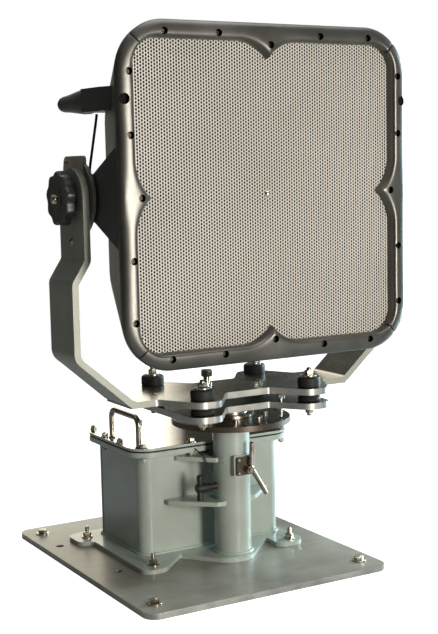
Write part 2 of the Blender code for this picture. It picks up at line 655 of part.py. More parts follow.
def build_grille_and_drivers():
    grille_front = FACE_Y - FRAME_BACK + GAP
    outline = rounded_square(GRILLE_HALF, GRILLE_HALF, GRILLE_R)
    sheet = [Vector((p.x, p.y + TILT_Z)) for p in outline]
    dress(plate("grille", [sheet], -grille_front - GRILLE_T, -grille_front, "XZ"), "grille")
    back_y = grille_front + GRILLE_T + GAP
    baffle_outline = rounded_square(HOUSE_FRONT - 16, HOUSE_FRONT - 16, HOUSE_FRONT_R - 16)
    baffle_sheet = [Vector((p.x, p.y + TILT_Z)) for p in baffle_outline]
    array = plate("driver_array", [baffle_sheet], -back_y - 9, -back_y - 1, "XZ")
    for row in (-1, 0, 1):
        for col in (-1, 0, 1):
            name = f"driver_{row + 2}{col + 2}"
            at = (col * DRIVER_PITCH, back_y + 8, TILT_Z + row * DRIVER_PITCH)
            body = rod(name, DRIVER_R, -6.0, DRIVER_DEPTH, at, "Y", 12)
            boolean(array, body, "UNION")
    dress(array, "plastic")


def build_housing():
    dress(shell("rear_housing", housing_rings(0.0), HOUSE_WALL), "housing", 30.0)
    middle_z = (COVER_Z0 + COVER_Z1) / 2.0
    half_z = (COVER_Z1 - COVER_Z0) / 2.0
    front = HOUSE_BACK_Y + 1.0
    rings = [square_ring(COVER_X, 40.0, front, 0, middle_z, half_z),
             square_ring(COVER_X - 6, 38.0, front + COVER_DEPTH - 10, 0, middle_z, half_z - 6),
             square_ring(COVER_X - 14, 32.0, front + COVER_DEPTH, 0, middle_z, half_z - 14)]
    dress(shell("rear_cover", rings, HOUSE_WALL), "housing", 30.0)


def build_bosses_and_grips():
    front = FACE_Y - FRAME_BACK + 16.0
    for side, word, axis in ((-1, "left", "-X"), (1, "right", "X")):
        wedge = fillet([(front, -104, 0), (-56, -50, 10), (34, -44, 30),
                        (34, 44, 30), (-56, 50, 10), (front, 104, 0)])
        outline = [Vector((p[0], p[1] + TILT_Z)) for p in wedge]
        span = sorted((side * 286.0, side * BOSS_X))
        boss = plate("pivot_boss_" + word, [outline], *span, "YZ")
        boolean(boss, loft("boss_room_" + word, housing_rings(FIT_CLEAR)), "DIFFERENCE")
        trunnion = rod("trunnion_" + word, TRUNNION_R, BOSS_X - 6, TRUNNION_END, (0, 0, TILT_Z), axis)
        dress(boolean(boss, trunnion, "UNION"), "housing")

        grip_z = TILT_Z + GRIP_Z
        profile = [(0, GRIP_END), (GRIP_R1 - 4, GRIP_END), (GRIP_R1, GRIP_END - 5),
                   (GRIP_R1 + 1.5, GRIP_END - 22), (GRIP_R0, 18), (GRIP_R0, -22), (0, -22)]
        grip = turned("rear_grip_" + word, profile, (side * GRIP_X, 0, grip_z), "Y")
        web = [(side * 296, -16, 0), (side * (GRIP_X + 24), -16, 6), (side * (GRIP_X + 18), -96, 8),
               (side * 336, -128, 0), (side * 325, -128, 0)]
        socket = plate("grip_socket_" + word, [fillet(web)], grip_z - GRIP_SOCKET, grip_z + GRIP_SOCKET)
        boolean(socket, loft("socket_room_" + word, housing_rings(FIT_CLEAR)), "DIFFERENCE")
        dress(boolean(grip, socket, "UNION"), "housing")


def build_head_cable():
    """A short lead clipped from the left grip's root down to the left pivot."""
    route = [(-330, -40, 1013), (-331, -38, 990), (-332, -34, 960), (-333, -26, 930), (-333, -20, 905),
             (-331, -16, 892)]
    dress(tube("head_cable", route, 2.8, 2), "rubber")


build_base()
build_foot()
build_box()
build_column()
build_gussets()
build_clamps()
build_turntable()
build_yoke()
build_plunger()
build_pivots()
build_frame()
build_grille_and_drivers()
build_housing()
build_bosses_and_grips()
build_head_cable()
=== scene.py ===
"""Looks of the acoustic hailing device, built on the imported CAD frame.

Metres in the scene; the shapes' lengths are written in millimetres and scaled by MM.
+Z is up, the speaker faces -Y, and the origin is on the pan axis under the base plate.
"""
import math
import bmesh
import bpy
from mathutils import Matrix, Vector


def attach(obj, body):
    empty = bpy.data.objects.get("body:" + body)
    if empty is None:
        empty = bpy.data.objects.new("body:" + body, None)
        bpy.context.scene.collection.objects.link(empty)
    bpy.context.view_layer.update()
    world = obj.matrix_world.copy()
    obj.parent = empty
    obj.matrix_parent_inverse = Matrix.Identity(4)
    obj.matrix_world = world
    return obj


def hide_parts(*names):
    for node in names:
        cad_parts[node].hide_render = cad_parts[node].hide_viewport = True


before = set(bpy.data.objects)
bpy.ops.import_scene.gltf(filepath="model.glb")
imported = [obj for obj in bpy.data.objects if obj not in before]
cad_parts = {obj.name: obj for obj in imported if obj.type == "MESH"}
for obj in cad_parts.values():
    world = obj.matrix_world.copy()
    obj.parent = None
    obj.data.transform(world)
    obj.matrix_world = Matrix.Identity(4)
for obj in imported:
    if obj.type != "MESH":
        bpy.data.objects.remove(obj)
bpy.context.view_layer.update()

MM = 0.001

# ---------------------------------------------------------------- dimensions of the CAD frame
PLATE_X, PLATE_Y = -49.0, 101.0
PLATE_HALF_X, PLATE_HALF_Y, PLATE_R, PLATE_T = 300.0, 360.0, 30.0, 13.0
PLATE_BOLT_X, PLATE_BOLT_Y = 258.0, 302.0
SPARE_HOLES = [(-312.0, 283.0), (-278.0, 34.0)]
FOOT_LOW, FOOT_TOP = 13.3, 23.3
FOOT_STUDS = [(-206.0, 2.0), (155.0, 2.0), (-241.0, 283.0), (204.0, 283.0)]
FOOT_OUTLINE = [
    (-245, -34, 34), (-192, -34, 28), (-119, 38, 4), (-19, -96, 60), (116, 45, 4), (110, -25, 26),
    (192, -25, 36), (182, 60, 30), (182, 240, 12), (240, 248, 32), (240, 320, 32), (206, 330, 12),
    (-242, 330, 12), (-276, 320, 32), (-276, 248, 32), (-242, 240, 12)]
BOX_X0, BOX_X1, BOX_Y0, BOX_Y1, BOX_SEAM_Y = -198.0, 170.0, 66.0, 308.0, 280.0
BOX_R, RIM_OUT, RIM_LOW, RIM_TOP = 26.0, 24.0, 254.0, 266.0
SEAL_LOW, SEAL_TOP, LID_LOW, LID_TOP = 266.3, 269.3, 269.6, 275.6
HANDLE_X, HANDLE_Y0, HANDLE_Y1, HANDLE_TOP, HANDLE_R = -202.0, 66.0, 206.0, 344.0, 6.5
COLUMN_R, COLUMN_TOP = 42.0, 324.7
DISC_R, DISC_LOW, DISC_TOP = 135.0, 325.0, 337.0
INDEX_R, INDEX_HOLES, INDEX_HOLE_R = 118.0, 24, 5.4
TURN_LOW, TURN_TOP, YOKE_LOW, YOKE_TOP = 360.5, 374.5, 393.0, 407.0
ISO_X, ISO_Y, ISO_R, ISO_TOP, BOLT_HOLE_R = 137.0, 117.0, 26.0, 430.0, 6.5
DECK_WAIST, DECK_NECK, EAR_Y, TURN_HALF_X = 78.0, 57.0, 156.0, 178.0
ARM_T, ARM_HALF, ARM_UP_X, ARM_LOW_X = 14.0, 62.0, 375.0, 405.0
JOG_LOW, JOG_HIGH, BEND_Z = 668.0, 714.0, 506.0
TILT_Z = 841.0
ARM_TOP = TILT_Z + ARM_HALF
PIN_X, PIN_Y, PIN_R, PIN_LOW, PIN_SEAT = 82.0, -85.0, 4.0, 338.0, 382.8
DECK_BOLT = (-36.0, 44.0)
FRICTION_R, FRICTION_T = 80.0, 8.0
BOSS_X, TRUNNION_R, TRUNNION_END = 347.0, 10.0, 418.0
KNOB_R, KNOB_LOBE, KNOB_LOBES, KNOB_X0, KNOB_X1 = 55.0, 3.0, 9, 385.0, 408.0
AXLE_HOLE_R, TAB_REACH = 10.5, 70.0
ARM_SCREW_Y, ARM_SCREW_Z = 4.0, 753.0
FACE_Y = -197.0
FRAME_OUT, FRAME_OUT_R, FRAME_IN, FRAME_IN_R = 352.0, 106.0, 315.0, 51.0
FRAME_BACK, FRAME_DEEP, CREST_IN, CUSP_HALF, CUSP_DEPTH = -11.5, -22.0, 10.0, 75.0, 36.0
FRAME_SEAM, SCREW_HOLE_R, SCREW_HOLE_DEEP = 1.9, 7.6, 10.5
SIDE_SCREWS = [(-248.0, 328.0), (-124.0, 328.0), (0.0, 307.0), (124.0, 328.0), (248.0, 328.0)]
EYE_AT, EYE_R, EYE_DEEP = (339.0, 195.0), 10.8, 10.0
GRILLE_Y, GRILLE_HALF, GRILLE_R = -174.7, 337.0, 90.0
PITCH, HOLE_R, HOLE_BACK_R, HOLE_X, HOLE_Z = 7.15, 3.1, 2.7, 0.87, 1.10
HOUSE_FRONT, HOUSE_FRONT_R, HOUSE_FRONT_Y, HOUSE_LIP, HOUSE_FLOOR_Y = 350.0, 104.0, -185.2, 10.0, -165.0
HOUSE_BACK, HOUSE_BACK_R, HOUSE_BACK_Y = 300.0, 150.0, -20.0
COVER_X, COVER_Z0, COVER_Z1, COVER_Y1 = 205.0, -270.0, 150.0, 53.0
GRIP_X, GRIP_Z, GRIP_END = 330.0, 1041.0, 125.0
PAD_HALF, PAD_Z, PAD_Y = 23.0, 231.0, -50.0
LEVER_X, LEVER_Z, LEVER_Y = 8.0, 224.0, -66.0
TEE_X, TEE_Z, TEE_HALF = -84.0, 180.0, 30.0
GUSSET_T, GUSSET_Z, GUSSET_HIGH_Z = 10.0, 138.0, 236.0

# ---------------------------------------------------------------- camera and lights
CAMERA_AT = (-1.43107, -2.45332, 0.89760)
CAMERA_TO = (-0.02472, 0.0, 0.5650)
CAMERA_ROLL = -1.266
CAMERA_LENS = 71.95

# the studio round the object: (azimuth from +X in degrees, colour), and its ceiling
STUDIO_SIDES = [
    (-180.0, (0.03, 0.03, 0.03)), (-125.0, (0.05, 0.05, 0.045)), (-104.0, (0.14, 0.14, 0.13)),
    (-92.0, (0.50, 0.48, 0.43)), (-72.0, (0.60, 0.57, 0.51)), (-60.0, (0.30, 0.29, 0.27)),
    (-30.0, (0.30, 0.30, 0.30)), (0.0, (0.50, 0.58, 0.62)), (50.0, (0.75, 0.86, 0.92)),
    (57.0, (0.04, 0.04, 0.035)), (63.05, (0.04, 0.04, 0.035)), (63.25, (2.6, 2.45, 2.05)),
    (76.0, (2.0, 1.87, 1.55)), (90.0, (0.08, 0.08, 0.07)), (130.0, (0.10, 0.10, 0.09)),
]
STUDIO_TOP = (0.60, 0.61, 0.61)
STUDIO_TOP_FADE = (0.62, 0.95)    # sines of the heights where the sides give way to the ceiling
FLOOR_GLOW = 1.0
FLOOR_R = 3200.0


def link_object(name, data):
    thing = bpy.data.objects.new(name, data)
    bpy.context.scene.collection.objects.link(thing)
    return thing


def aim(thing, at, to, roll=0.0):
    look = (Vector(to) - Vector(at)).to_track_quat("-Z", "Y").to_matrix().to_4x4()
    turn = Matrix.Rotation(math.radians(roll), 4, "Z")
    thing.matrix_world = Matrix.Translation(Vector(at)) @ look @ turn


def make_camera():
    data = bpy.data.cameras.new("camera")
    data.sensor_fit = "VERTICAL"
    data.sensor_height = 36.0
    data.lens = CAMERA_LENS
    data.clip_end = 100.0
    camera = link_object("camera", data)
    aim(camera, CAMERA_AT, CAMERA_TO, CAMERA_ROLL)
    bpy.context.scene.camera = camera


def area_light(name, at, to, size, power, colour):
    data = bpy.data.lights.new(name, "AREA")
    data.shape = "RECTANGLE"
    data.size, data.size_y = size
    data.energy = power
    data.color = colour
    aim(link_object(name, data), at, to)


def add_node(tree, kind, inputs, **options):
    """A shader node's outputs; each input is a socket to link or a value to set."""
    node = tree.nodes.new("ShaderNode" + kind)
    for key, value in options.items():
        setattr(node, key, value)
    for key, value in inputs.items():
        if isinstance(value, bpy.types.NodeSocket):
            tree.links.new(value, node.inputs[key])
        else:
            node.inputs[key].default_value = value
    return node.outputs


def map_range(tree, value, from_min, from_max, to_min=0.0, to_max=1.0):
    limits = {"From Min": from_min, "From Max": from_max, "To Min": to_min, "To Max": to_max}
    return add_node(tree, "MapRange", {"Value": value, **limits})["Result"]


def camera_ray(tree):
    return add_node(tree, "LightPath", {})["Is Camera Ray"]


def make_world():
    """White to the camera; for light and reflections a studio that is bright behind and to the right."""
    world = bpy.data.worlds.new("studio")
    world.use_nodes = True
    tree = world.node_tree
    back = tree.nodes["Background"]
    where = add_node(tree, "TexCoord", {})["Generated"]
    parts = add_node(tree, "SeparateXYZ", {"Vector": where})
    angle = add_node(tree, "Math", {0: parts["Y"], 1: parts["X"]}, operation="ARCTAN2")["Value"]
    share = map_range(tree, angle, -math.pi, math.pi)
    stops = [((azimuth + 180.0) / 360.0, colour) for azimuth, colour in STUDIO_SIDES]
    height = map_range(tree, parts["Z"], *STUDIO_TOP_FADE)
    dome = blend(tree, ramp(tree, share, stops), (*STUDIO_TOP, 1.0), height)
    colour = blend(tree, dome, (1.0, 1.0, 1.0, 1.0), camera_ray(tree))
    tree.links.new(colour, back.inputs["Color"])
    back.inputs["Strength"].default_value = 1.0
    bpy.context.scene.world = world
    bpy.context.scene.view_settings.view_transform = "Standard"


# ---------------------------------------------------------------- materials
def new_material(name):
    mat = bpy.data.materials.new(name)
    mat.use_nodes = True
    tree = mat.node_tree
    return mat, tree, tree.nodes["Principled BSDF"]


def noise(tree, scale, detail, stretch=(1.0, 1.0, 1.0)):
    where = add_node(tree, "TexCoord", {})["Object"]
    place = add_node(tree, "Mapping", {"Vector": where, "Scale": stretch})["Vector"]
    inputs = {"Vector": place, "Scale": scale, "Detail": detail, "Roughness": 0.5}
    return add_node(tree, "TexNoise", inputs)["Fac"]


def ramp(tree, factor, stops):
    """A colour ramp; stops are (position, colour)."""
    node = tree.nodes.new("ShaderNodeValToRGB")
    band = node.color_ramp
    while len(band.elements) < len(stops):
        band.elements.new(0.5)
    for element, (position, colour) in zip(band.elements, stops):
        element.position = position
        element.color = (*colour, 1.0)
    tree.links.new(factor, node.inputs["Fac"])
    return node.outputs["Color"]


def blend(tree, a, b, factor, mode="MIX"):
    return add_node(tree, "Mix", {0: factor, 6: a, 7: b}, data_type="RGBA", blend_type=mode)[2]


def shade(colour, factor):
    return tuple(channel * factor for channel in colour)


def surface(name, colour, tint, rough, metal, grain, relief, vary, blotch, rough_span,
            stretch=(1.0, 1.0, 1.0), specular=0.5, coat=0.0):
    """A finish with slow blotches, fine grain in colour, roughness and bump."""
    mat, tree, shader = new_material(name)
    slow = noise(tree, blotch, 4.0)
    fine = noise(tree, grain, 2.0, stretch)
    light, dark = shade(colour, 1.0 + vary), shade(tint, 1.0 - vary)
    base = ramp(tree, slow, [(0.30, dark), (0.70, light)])
    speck = ramp(tree, fine, [(0.30, (1.0 - vary,) * 3), (0.70, (1.0,) * 3)])
    base = blend(tree, base, speck, 1.0, "MULTIPLY")
    tree.links.new(base, shader.inputs["Base Color"])
    both = blend(tree, slow, fine, 0.5)
    roughness = map_range(tree, both, 0.25, 0.75, rough - rough_span, rough + rough_span)
    tree.links.new(roughness, shader.inputs["Roughness"])
    shader.inputs["Metallic"].default_value = metal
    shader.inputs["Specular IOR Level"].default_value = specular
    shader.inputs["Coat Weight"].default_value = coat
    strength, depth = relief
    bump = add_node(tree, "Bump", {"Strength": strength, "Distance": depth, "Height": fine})["Normal"]
    tree.links.new(bump, shader.inputs["Normal"])
    return mat


# name: record slot, colour, darker tint, roughness, metalness, grain, (bump strength, bump depth),
# variation, blotch scale, roughness span, and what else differs
FINISHES = {
    "paint": ("paint", (0.30, 0.355, 0.325), (0.27, 0.30, 0.265), 0.34, 0.0,
              700.0, (0.22, 0.0003), 0.09, 7.0, 0.08, {"coat": 0.35}),
    "plate_steel": ("steel", (0.285, 0.272, 0.232), (0.24, 0.222, 0.185), 0.36, 0.3,
                    260.0, (0.12, 0.0002), 0.24, 6.0, 0.12, {"stretch": (0.06, 1.0, 1.0), "specular": 0.2}),
    "bolt_steel": ("steel", (0.60, 0.56, 0.48), (0.46, 0.40, 0.32), 0.22, 1.0,
                   1200.0, (0.1, 0.0001), 0.14, 60.0, 0.08, {}),
    "gold_steel": ("steel", (0.50, 0.44, 0.34), (0.34, 0.29, 0.22), 0.26, 1.0,
                   1200.0, (0.1, 0.0001), 0.18, 60.0, 0.08, {}),
    "polished": ("polished", (0.74, 0.72, 0.66), (0.66, 0.64, 0.59), 0.05, 1.0,
                 180.0, (0.08, 0.0002), 0.10, 11.0, 0.03, {}),
    "handle_steel": ("polished", (0.36, 0.31, 0.26), (0.23, 0.19, 0.155), 0.24, 1.0,
                     600.0, (0.1, 0.0001), 0.18, 30.0, 0.08, {}),
    "copper": ("copper_steel", (0.40, 0.36, 0.33), (0.40, 0.27, 0.20), 0.20, 1.0,
               500.0, (0.1, 0.0001), 0.18, 40.0, 0.08, {}),
    "dark_steel": ("dark_steel", (0.080, 0.064, 0.051), (0.075, 0.050, 0.036), 0.34, 0.7,
                   500.0, (0.2, 0.0002), 0.25, 20.0, 0.10, {}),
    "aluminium": ("aluminium", (0.29, 0.30, 0.262), (0.25, 0.257, 0.224), 0.46, 0.25,
                  1500.0, (0.35, 0.0002), 0.10, 6.0, 0.08, {}),
    "deck": ("aluminium", (0.40, 0.385, 0.35), (0.33, 0.315, 0.28), 0.20, 1.0,
             500.0, (0.12, 0.0001), 0.12, 7.0, 0.08, {}),
    "cut_edge": ("aluminium", (0.40, 0.40, 0.385), (0.35, 0.345, 0.32), 0.34, 0.85,
                 500.0, (0.12, 0.0001), 0.10, 24.0, 0.08, {}),
    "gunmetal": ("gunmetal", (0.118, 0.114, 0.106), (0.10, 0.097, 0.09), 0.34, 0.85,
                 1500.0, (0.28, 0.0002), 0.16, 9.0, 0.07, {}),
    "housing": ("housing", (0.055, 0.056, 0.052), (0.055, 0.056, 0.052), 0.52, 0.1,
                900.0, (0.4, 0.0003), 0.18, 8.0, 0.08, {"specular": 0.35}),
    "grille": ("grille", (0.53, 0.512, 0.474), (0.50, 0.48, 0.437), 0.60, 0.1,
               900.0, (0.15, 0.0001), 0.06, 3.0, 0.06, {}),
    # near-black: the drivers' own black on the backing behind the grille, and painted shade on the walls
    # and floors of the frame's holes
    "driver_black_and_hole_shade": ("plastic", (0.010, 0.009, 0.008), (0.010, 0.009, 0.008), 0.9, 0.0,
             700.0, (0.2, 0.0002), 0.2, 20.0, 0.05, {"specular": 0.1}),
    "rubber": ("rubber", (0.012, 0.012, 0.013), (0.012, 0.012, 0.013), 0.60, 0.0,
               800.0, (0.3, 0.0002), 0.2, 25.0, 0.10, {"specular": 0.3}),
    "plastic": ("plastic", (0.012, 0.012, 0.012), (0.012, 0.012, 0.012), 0.38, 0.0,
                900.0, (0.35, 0.0002), 0.15, 20.0, 0.08, {"specular": 0.4}),
    "knob_face": ("plastic", (0.085, 0.085, 0.078), (0.085, 0.085, 0.078), 0.58, 0.0,
                  700.0, (0.4, 0.0003), 0.25, 25.0, 0.1, {"specular": 0.3}),
    "bronze": ("bronze", (0.42, 0.38, 0.31), (0.42, 0.38, 0.31), 0.48, 0.3,
               700.0, (0.2, 0.0002), 0.15, 20.0, 0.10, {}),
}


# ---------------------------------------------------------------- outlines
def fillet(corners, segments=8):
    """Points of a closed outline whose corners (x, y, radius) are rounded by arcs."""
    points = []
    count = len(corners)
    for i, (x, y, radius) in enumerate(corners):
        here = Vector((x, y))
        before = Vector(corners[i - 1][:2]) - here
        after = Vector(corners[(i + 1) % count][:2]) - here
        if radius <= 0.0:
            points.append(here)
            continue
        half = before.angle(after) / 2.0
        reach = min(radius / math.tan(half), before.length * 0.499, after.length * 0.499)
        radius = reach * math.tan(half)
        inward = (before.normalized() + after.normalized()).normalized()
        middle = here + inward * radius / math.sin(half)
        start = here + before.normalized() * reach - middle
        turn = start.angle_signed(here + after.normalized() * reach - middle)
        for k in range(segments + 1):
            points.append(middle + Matrix.Rotation(-turn * k / segments, 2) @ start)
    return points


def circle(x, y, radius, segments=32):
    steps = [math.tau * k / segments for k in range(segments)]
    return [Vector((x + radius * math.cos(a), y + radius * math.sin(a))) for a in steps]


def rounded_square(half_x, half_y, radius, segments=14):
    return fillet([(-half_x, -half_y, radius), (half_x, -half_y, radius),
                   (half_x, half_y, radius), (-half_x, half_y, radius)], segments)


def round_route(corners, segments=8):
    """A route in space with its inner corners (x, y, z, radius) rounded."""
    points = [Vector(corners[0][:3])]
    for i in range(1, len(corners) - 1):
        here = Vector(corners[i][:3])
        before = (Vector(corners[i - 1][:3]) - here).normalized()
        after = (Vector(corners[i + 1][:3]) - here).normalized()
        half = before.angle(after) / 2.0
        radius = corners[i][3]
        reach = radius / math.tan(half)
        middle = here + (before + after).normalized() * radius / math.sin(half)
        start = here + before * reach - middle
        finish = here + after * reach - middle
        turn = start.angle(finish)
        for k in range(segments + 1):
            share = k / segments
            arc = start * math.sin((1 - share) * turn) + finish * math.sin(share * turn)
            points.append(middle + arc / math.sin(turn))
    points.append(Vector(corners[-1][:3]))
    return points


# ---------------------------------------------------------------- solids
AXES = {
    "Z": Matrix.Identity(4),
    "-Z": Matrix.Rotation(math.pi, 4, "X"),
    "X": Matrix.Rotation(math.pi / 2.0, 4, "Y"),
    "-X": Matrix.Rotation(-math.pi / 2.0, 4, "Y"),
    "Y": Matrix.Rotation(-math.pi / 2.0, 4, "X"),
    "-Y": Matrix.Rotation(math.pi / 2.0, 4, "X"),
}


def frame_at(at, axis):
    turn = axis if isinstance(axis, Matrix) else AXES[axis]
    return Matrix.Translation(Vector(at)) @ turn


def add_turned(solid, profile, at=(0, 0, 0), axis="Z", steps=32):
    """Adds a turned shape; profile is (radius, height) pairs, closed on the axis or on itself."""
    place = frame_at(at, axis)
    rows = []
    for radius, height in profile:
        if radius <= 0.0:
            rows.append([solid.verts.new(place @ Vector((0, 0, height)))])
            continue
        rows.append([solid.verts.new(place @ Vector((radius * math.cos(a), radius * math.sin(a), height)))
                     for a in (math.tau * k / steps for k in range(steps))])
    pairs = list(zip(rows, rows[1:]))
    if profile[0][0] > 0.0:
        pairs.append((rows[-1], rows[0]))
    for upper, lower in pairs:
        if len(upper) == len(lower) == 1:
            continue
        for k in range(steps):
            j = (k + 1) % steps
            if len(upper) == 1:
                solid.faces.new((upper[0], lower[k], lower[j]))
            elif len(lower) == 1:
                solid.faces.new((upper[j], upper[k], lower[0]))
            else:
                solid.faces.new((upper[k], lower[k], lower[j], upper[j]))


def add_loft(solid, rings, closed=True):
    rows = [[solid.verts.new(Vector(point)) for point in row] for row in rings]
    count = len(rows[0])
    for lower, upper in zip(rows, rows[1:]):
        for k in range(count):
            after = (k + 1) % count
            solid.faces.new((lower[k], lower[after], upper[after], upper[k]))
    if closed:
        solid.faces.new(list(reversed(rows[0])))
        solid.faces.new(rows[-1])
    return rows


def add_prism(solid, outline, low, high, at=(0, 0, 0), axis="Z", chamfer=0.0, shrink=0.93):
    """Adds an extruded outline, its ends cut back when chamfer is above zero."""
    place = frame_at(at, axis)
    levels = [(low, 1.0), (high, 1.0)] if chamfer <= 0.0 else [
        (low, shrink), (low + chamfer, 1.0), (high - chamfer, 1.0), (high, shrink)]
    add_loft(solid, [[place @ Vector((x * size, y * size, z)) for x, y in outline] for z, size in levels])


def add_tube(solid, route, radius, sides=14, round_ends=False):
    points = [Vector(p) for p in route]
    rings = []
    normal = None
    for i, point in enumerate(points):
        ahead = points[min(i + 1, len(points) - 1)] - points[max(i - 1, 0)]
        ahead.normalize()
        if normal is None:
            normal = ahead.orthogonal().normalized()
        normal = (normal - ahead * normal.dot(ahead)).normalized()
        side = ahead.cross(normal)
        size = radius(i / (len(points) - 1)) if callable(radius) else radius
        rings.append([point + (normal * math.cos(a) + side * math.sin(a)) * size
                      for a in (math.tau * k / sides for k in range(sides))])
    if round_ends:
        for end, step in ((0, -1), (-1, 1)):
            ring, middle = rings[end], points[end]
            out = (points[end] - points[end - step]).normalized()
            size = (ring[0] - middle).length
            extra = [[middle + (p - middle) * 0.72 + out * size * 0.30 for p in ring]]
            rings = extra + rings if end == 0 else rings + extra
    add_loft(solid, rings)


def add_bead(solid, route, radius, pitch, closed=True):
    """A weld bead: a low tube with scalloped ripples along a route."""
    points = [Vector(p) for p in route]
    if closed:
        points.append(points[0])
    lengths = [0.0]
    for a, b in zip(points, points[1:]):
        lengths.append(lengths[-1] + (b - a).length)
    count = max(8, int(lengths[-1] / pitch * 2))
    fine = []
    leg = 0
    for k in range(count + 1):
        target = lengths[-1] * k / count
        while leg < len(points) - 2 and lengths[leg + 1] < target:
            leg += 1
        share = (target - lengths[leg]) / max(lengths[leg + 1] - lengths[leg], 1e-6)
        fine.append(points[leg].lerp(points[leg + 1], share))
    add_tube(solid, fine, lambda share: radius * (1.0 + 0.10 * math.cos(math.pi * round(share * count))), 8)


def hexagon(across, turn=0.0):
    radius = across / math.sqrt(3.0)
    return [(radius * math.cos(turn + math.tau * k / 6), radius * math.sin(turn + math.tau * k / 6))
            for k in range(6)]


def add_rod(solid, radius, low, high, at=(0, 0, 0), axis="Z", steps=28):
    add_turned(solid, [(0, low), (radius, low), (radius, high), (0, high)], at, axis, steps)


def add_washer(solid, outer, inner, low, high, at, axis="Z"):
    add_turned(solid, [(outer - 0.4, high), (outer, high - 0.4), (outer, low), (inner, low), (inner, high)],
               at, axis, 28)


def add_nut(solid, across, low, high, at, axis="Z", turn=0.3):
    add_prism(solid, hexagon(across, turn), low, high, at, axis, (high - low) * 0.16)


def add_thread(solid, radius, low, high, at, axis="Z", pitch=1.75):
    """A threaded end with a chamfered tip at the high end."""
    profile = [(0, high), (radius * 0.72, high), (radius * 0.98, high - radius * 0.3)]
    level = high - radius * 0.3 - pitch * 0.5
    while level > low + pitch:
        profile += [(radius * 0.86, level), (radius, level - pitch * 0.5)]
        level -= pitch
    profile += [(radius, low), (0, low)]
    add_turned(solid, profile, at, axis, 18)


def add_cap_screw(solid, radius, low, high, at, axis="Z"):
    """A socket-head screw: a turned head with a hex recess."""
    inner = radius * 0.55
    add_turned(solid, [(inner, high), (radius * 0.9, high), (radius, high - radius * 0.14), (radius, low),
                       (inner, low)], at, axis, 24)
    add_prism(solid, hexagon(radius * 1.15), low, high - radius * 0.55, at, axis)


# ---------------------------------------------------------------- objects
def to_object(name, solid):
    bmesh.ops.recalc_face_normals(solid, faces=solid.faces)
    bmesh.ops.scale(solid, vec=(MM, MM, MM), verts=solid.verts)
    mesh = bpy.data.meshes.new(name)
    solid.to_mesh(mesh)
    solid.free()
    return link_object(name, mesh)


def settle(thing):
    """Applies the modifiers and removes the cutters they used."""
    cutters = [mod.object for mod in thing.modifiers if mod.type == "BOOLEAN"]
    bpy.context.view_layer.update()
    depsgraph = bpy.context.evaluated_depsgraph_get()
    mesh = bpy.data.meshes.new_from_object(thing.evaluated_get(depsgraph))
    thing.modifiers.clear()
    mesh.name = thing.name
    thing.data = mesh
    for cutter in cutters:
        bpy.data.objects.remove(cutter, do_unlink=True)
    return thing


def boolean(thing, tool, operation, solver="EXACT"):
    mod = thing.modifiers.new(operation.lower(), "BOOLEAN")
    mod.operation = operation
    mod.solver = solver
    mod.object = tool
    return settle(thing)


def soften(thing, width, segments=2, angle=35.0):
    mod = thing.modifiers.new("edges", "BEVEL")
    mod.width = width * MM
    mod.segments = segments
    mod.limit_method = "ANGLE"
    mod.angle_limit = math.radians(angle)
    return settle(thing)


def dress(thing, body, finish, nodes=(), angle=35.0, weighted=True):
    thing.data.materials.clear()
    thing.data.materials.append(MATERIALS[finish])
    thing.data.shade_smooth()
    thing.data.set_sharp_from_angle(angle=math.radians(angle))
    if weighted:
        mod = thing.modifiers.new("normals", "WEIGHTED_NORMAL")
        mod.keep_sharp = True
    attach(thing, body)
    if nodes:
        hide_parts(*nodes)
    return thing


def second_finish(thing, finish, test):
    """Gives the faces whose (centre in mm, normal) pass the test another finish."""
    thing.data.materials.append(MATERIALS[finish])
    last = len(thing.data.materials) - 1
    for face in thing.data.polygons:
        if test(face.center / MM, face.normal):
            face.material_index = last
    return thing


PLANES = {
    "XY": Matrix(((1, 0, 0), (0, 1, 0), (0, 0, 1))),
    "XZ": Matrix(((1, 0, 0), (0, 0, -1), (0, 1, 0))),
    "YZ": Matrix(((0, 0, 1), (1, 0, 0), (0, 1, 0))),
}


def plate(name, loops, low, high, plane="XY"):
    """A flat piece from outlines in mm; the loops after the first are holes.

    low and high bound it along the plane's normal: +Z for XY, +X for YZ, -Y for XZ.
    """
    curve = bpy.data.curves.new(name + "_outline", "CURVE")
    curve.dimensions = "2D"
    curve.fill_mode = "BOTH"
    curve.extrude = (high - low) / 2.0 * MM
    for loop in loops:
        spline = curve.splines.new("POLY")
        spline.points.add(len(loop) - 1)
        spline.use_cyclic_u = True
        for point, here in zip(spline.points, loop):
            point.co = (here[0] * MM, here[1] * MM, 0.0, 1.0)
    holder = link_object(name + "_outline", curve)
    bpy.context.view_layer.update()
    depsgraph = bpy.context.evaluated_depsgraph_get()
    mesh = bpy.data.meshes.new_from_object(holder.evaluated_get(depsgraph))
    bpy.data.objects.remove(holder, do_unlink=True)
    turn = PLANES[plane]
    shift = turn @ Vector((0, 0, (low + high) / 2.0 * MM))
    mesh.transform(Matrix.Translation(shift) @ turn.to_4x4())
    solid = bmesh.new()
    solid.from_mesh(mesh)
    bmesh.ops.remove_doubles(solid, verts=solid.verts, dist=0.00002)
    bmesh.ops.recalc_face_normals(solid, faces=solid.faces)
    solid.to_mesh(mesh)
    solid.free()
    mesh.name = name
    return link_object(name, mesh)


def shifted(points, dx, dy):
    return [Vector((p[0] + dx, p[1] + dy)) for p in points]


